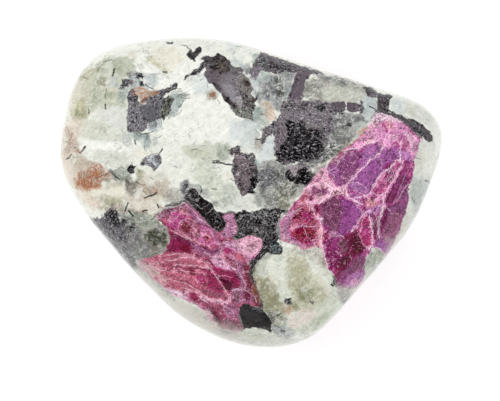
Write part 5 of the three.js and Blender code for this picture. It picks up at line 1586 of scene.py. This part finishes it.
# Ruby: drawn facets, split by fine cells, webbed with pale veins.
red_tone = attribute("Red", "Color")
veiny = attribute("Red", "Alpha")
grainy = laid(0.85, 1.8)
split = cells(vector("ADD", grainy, vector("SCALE", wobble, scale=0.7)), 1.2, "F1", "Color")
split_value = tree.nodes.new("ShaderNodeSeparateColor")
link(split, split_value.inputs[0])
red_fine = cloud(bent, 4.2, 5, 0.70, 0.3)
red_run = cloud(laid(1.0, 3.2), 1.0, 5, 0.66)
tiny = cloud(vector("ADD", mm, (1.7, 8.3, 2.9)), 6.0, 1, 0.80)  # grain of a pixel or two
pale_share = step(veiny, 0.0, 0.30, 0.10, 1.0)
glow = brighten(red_tone, 2.3)  # pale marks take some of the facet's colour
gain = add(-1.925, add(mul(split_value.outputs[0], 0.24), add(add(mul(red_fine, 1.45), mul(tiny, 2.65)), mul(red_run, 1.35))))
ruby_colour = brighten(red_tone, gain)
deeps = step(add(red_run, mul(add(red_fine, -0.5), 0.6)), 0.45, 0.34)
ruby_colour = mix(mul(deeps, 0.70), ruby_colour, rgb(0.33, 0.01, 0.16))
near_vein = step(attribute("VeinOut"), 3.8, 0.4)
dense = add(mul(mul(near_vein, step(attribute("VeinWidth"), 0.75, 1.35, 0.35, 1.0)), 0.55), mul(veiny, 0.75))
patchy = cloud(mm, 1.9, 4, 0.68)
powder = mul(step(cloud(laid(2.6, 5.4), 1.0, 5, 0.76), 0.60, 0.70), mul(dense, 0.46))
ruby_colour = mix(mul(powder, pale_share), ruby_colour, mix(0.45, rgb(0.91, 0.70, 0.80), glow))
# Fine parallel cleavage lines along the grain of the crystal.
cleave = maths("ABSOLUTE", add(cloud(laid(0.75, 4.6), 1.0, 3, 0.62, 0.25), -0.5))
cleave = mul(step(add(cleave, mul(rag, 0.008)), 0.012, 0.050, 1.0, 0.0), step(add(patchy, mul(dense, 0.28)), 0.64, 0.78))
ruby_colour = mix(mul(mul(cleave, 0.70), pale_share), ruby_colour, mix(0.45, rgb(0.95, 0.76, 0.86), glow))
# Healed cracks: two nets of pale lines, coarse and fine.
crazed = cells(vector("ADD", grainy, vector("SCALE", wobble, scale=1.6)), 1.25, "DISTANCE_TO_EDGE")
crazing = mul(step(add(crazed, mul(rag, 0.02)), 0.02, 0.085, 1.0, 0.0), step(add(patchy, mul(dense, 0.24)), 0.61, 0.72))
ruby_colour = mix(mul(mul(crazing, 0.82), pale_share), ruby_colour, mix(0.40, rgb(0.97, 0.80, 0.88), glow))
crazed_fine = cells(vector("ADD", laid(1.5, 2.5), vector("SCALE", wobble, scale=2.6)), 1.25, "DISTANCE_TO_EDGE")
patchy_fine = cloud(vector("ADD", mm, (4.4, 6.1, 9.7)), 3.4, 4, 0.70)
crazing_fine = mul(step(add(crazed_fine, mul(rag, 0.03)), 0.03, 0.14, 1.0, 0.0), step(add(patchy_fine, mul(dense, 0.20)), 0.64, 0.74))
ruby_colour = mix(mul(mul(crazing_fine, 0.76), pale_share), ruby_colour, mix(0.45, rgb(0.96, 0.77, 0.86), glow))
# Painted glints: tiny near-white specks, thicker where the veins are, stand in for sparkle of light.
painted_glints = step(add(cloud(mm, 10.0, 2, 0.6), mul(dense, 0.04)), 0.655, 0.695)
ruby_colour = mix(mul(mul(painted_glints, 0.85), pale_share), ruby_colour, rgb(0.97, 0.84, 0.91))
dot = step(cloud(vector("ADD", mm, (7.3, 2.1, 4.7)), 6.5, 3, 0.65), 0.41, 0.34)
ruby_colour = mix(mul(dot, 0.60), ruby_colour, rgb(0.20, 0.01, 0.09))
ruby_colour = mix(mul(stroke("Crack", 1.0, 0.5, 0.8), 0.80), ruby_colour, rgb(0.27, 0.01, 0.14))
broken = step(cloud(mm, 2.6, 4, 0.75), 0.38, 0.55, 0.25, 1.0)
main_vein = step(attribute("VeinWidth"), 0.65, 1.45, 0.58, 1.0)
ruby_colour = mix(mul(mul(stroke("Vein", 0.80, 0.36, 1.3), broken), main_vein), ruby_colour, rgb(0.99, 0.88, 0.94))

# The three laid together.
frayed = attribute("Fray")
comb = mul(add(fibre, -0.5), 4.5)
amph_in = step(add(attribute("AmphEdge"), mul(add(mul(rag, 0.50), comb), frayed)), -0.5, 0.5, 1.0, 0.0)
ruby_in = step(add(attribute("RubyEdge"), mul(rag, 0.50)), -0.45, 0.45, 1.0, 0.0)
colour = mix(amph_in, rock_colour, amph_colour)
# Where the two meet there is no pale rock between them.
between = mul(step(attribute("AmphEdge"), 1.4, 3.4, 1.0, 0.0), step(attribute("RubyEdge"), 1.4, 3.4, 1.0, 0.0))
colour = mix(mul(mul(between, add(1.0, mul(amph_in, -1.0))), 0.85), colour, rgb(0.20, 0.15, 0.17))
colour = mix(ruby_in, colour, ruby_colour)
net = maths("ABSOLUTE", add(cloud(vector("ADD", mm, (6.6, 1.2, 8.3)), 2.3, 5, 0.74, 0.4), -0.5))
blots = step(add(add(mul(fine, 0.8), mul(salt, 0.4)), mul(middle, 0.7)), 0.57, 0.67)
film = mul(attribute("Veil", "Alpha"), maths("MAXIMUM", blots, step(net, 0.045, 0.015)))
colour = mix(film, colour, brighten(attribute("Veil", "Color"), add(-0.25, add(mul(fine, 1.1), mul(salt, 1.4)))))
# Rim haze: partly the milky stone, partly a painted reflection. It turns the colour toward a pale glassy grey.
clear = brighten(rgb(0.79, 0.775, 0.74)[:3], add(0.78, add(mul(mid, 0.26), mul(fine, 0.18))))
colour = mix(attribute("HazeAndGlare"), colour, clear)

shader = tree.nodes.new("ShaderNodeBsdfPrincipled")
output = tree.nodes.new("ShaderNodeOutputMaterial")
tree.links.new(shader.outputs[0], output.inputs[0])
link(colour, shader.inputs["Base Color"])
shader.inputs["IOR"].default_value = 1.5
shader.inputs["Specular IOR Level"].default_value = 0.15
shine = blend(amph_in, add(0.10, mul(fine, 0.08)), add(0.10, mul(clot, 0.14)))
shine = blend(ruby_in, shine, add(0.09, mul(red_fine, 0.12)))
link(shine, shader.inputs["Roughness"])
bump = tree.nodes.new("ShaderNodeBump")
bump.inputs["Strength"].default_value = 0.22
bump.inputs["Distance"].default_value = 0.00004
rough_height = blend(ruby_in, blend(amph_in, mul(fine, 0.35), add(clot, fibre)), add(red_fine, mul(split_value.outputs[1], 0.8)))
link(rough_height, bump.inputs["Height"])
link(bump.outputs[0], shader.inputs["Normal"])
mesh.materials.append(material)

# ---- floor, light and camera ------------------------------------------------
floor_mesh = bpy.data.meshes.new("floor")
floor_mesh.from_pydata([(-2, -2, 0), (2, -2, 0), (2, 2, 0), (-2, 2, 0)], [], [(0, 1, 2, 3)])
floor = bpy.data.objects.new("floor", floor_mesh)
bpy.context.scene.collection.objects.link(floor)
floor.location.z = -0.00002
paper = bpy.data.materials.new("white_paper")
paper.use_nodes = True
plain = paper.node_tree.nodes["Principled BSDF"]
plain.inputs["Base Color"].default_value = (0.42, 0.42, 0.42, 1)
plain.inputs["Roughness"].default_value = 0.9
plain.inputs["Specular IOR Level"].default_value = 0.1
plain.inputs["Emission Color"].default_value = (1, 1, 1, 1)
plain.inputs["Emission Strength"].default_value = 0.70
floor_mesh.materials.append(paper)

world = bpy.data.worlds.new("studio")
bpy.context.scene.world = world
world.use_nodes = True
sky = world.node_tree.nodes["Background"]
sky.inputs["Color"].default_value = (1, 1, 1, 1)
# A white tent, open at the top, so that the polished face mirrors no glare.
tent = world.node_tree.nodes.new("ShaderNodeTexCoord")
tent_parts = world.node_tree.nodes.new("ShaderNodeSeparateXYZ")
tent_step = world.node_tree.nodes.new("ShaderNodeMapRange")
tent_step.interpolation_type = "SMOOTHSTEP"
for name, value in (("From Min", 0.78), ("From Max", 0.93), ("To Min", 0.74), ("To Max", 0.08)):
    tent_step.inputs[name].default_value = value
world.node_tree.links.new(tent.outputs["Generated"], tent_parts.inputs[0])
world.node_tree.links.new(tent_parts.outputs[2], tent_step.inputs["Value"])
world.node_tree.links.new(tent_step.outputs[0], sky.inputs["Strength"])


def softbox(name, position, size, radiance, tint=(1, 1, 1)):
    """A round soft light of that brightness, facing the stone. Metres."""
    data = bpy.data.lights.new(name, "AREA")
    data.shape, data.size = "DISK", size
    data.energy = radiance * math.pi * (math.pi * size * size / 4)
    data.color = tint
    light = bpy.data.objects.new(name, data)
    light.location = position
    light.rotation_euler = (-Vector(position)).to_track_quat("-Z", "Y").to_euler()
    bpy.context.scene.collection.objects.link(light)


def around(azimuth, elevation, distance=0.6):
    a, e = math.radians(azimuth), math.radians(elevation)
    return (distance * math.cos(a) * math.cos(e), distance * math.sin(a) * math.cos(e), distance * math.sin(e))


softbox("left_light", around(160, 46), 0.42, 2.5)
softbox("back_light", around(55, 46), 0.42, 1.3)
softbox("right_light", around(-15, 46), 0.40, 0.9)
softbox("front_light", around(-100, 46), 0.42, 1.1)

camera_data = bpy.data.cameras.new("camera")
camera_data.lens, camera_data.sensor_width = 200, 36
camera = bpy.data.objects.new("camera", camera_data)
camera.location = (CAMERA[0] / 1000, CAMERA[1] / 1000, CAMERA[2] / 1000)
camera_data.clip_start = 0.01
bpy.context.scene.collection.objects.link(camera)
bpy.context.scene.camera = camera
bpy.context.scene.view_settings.view_transform = "Standard"

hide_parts("ruby_stone")
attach(stone, "root")
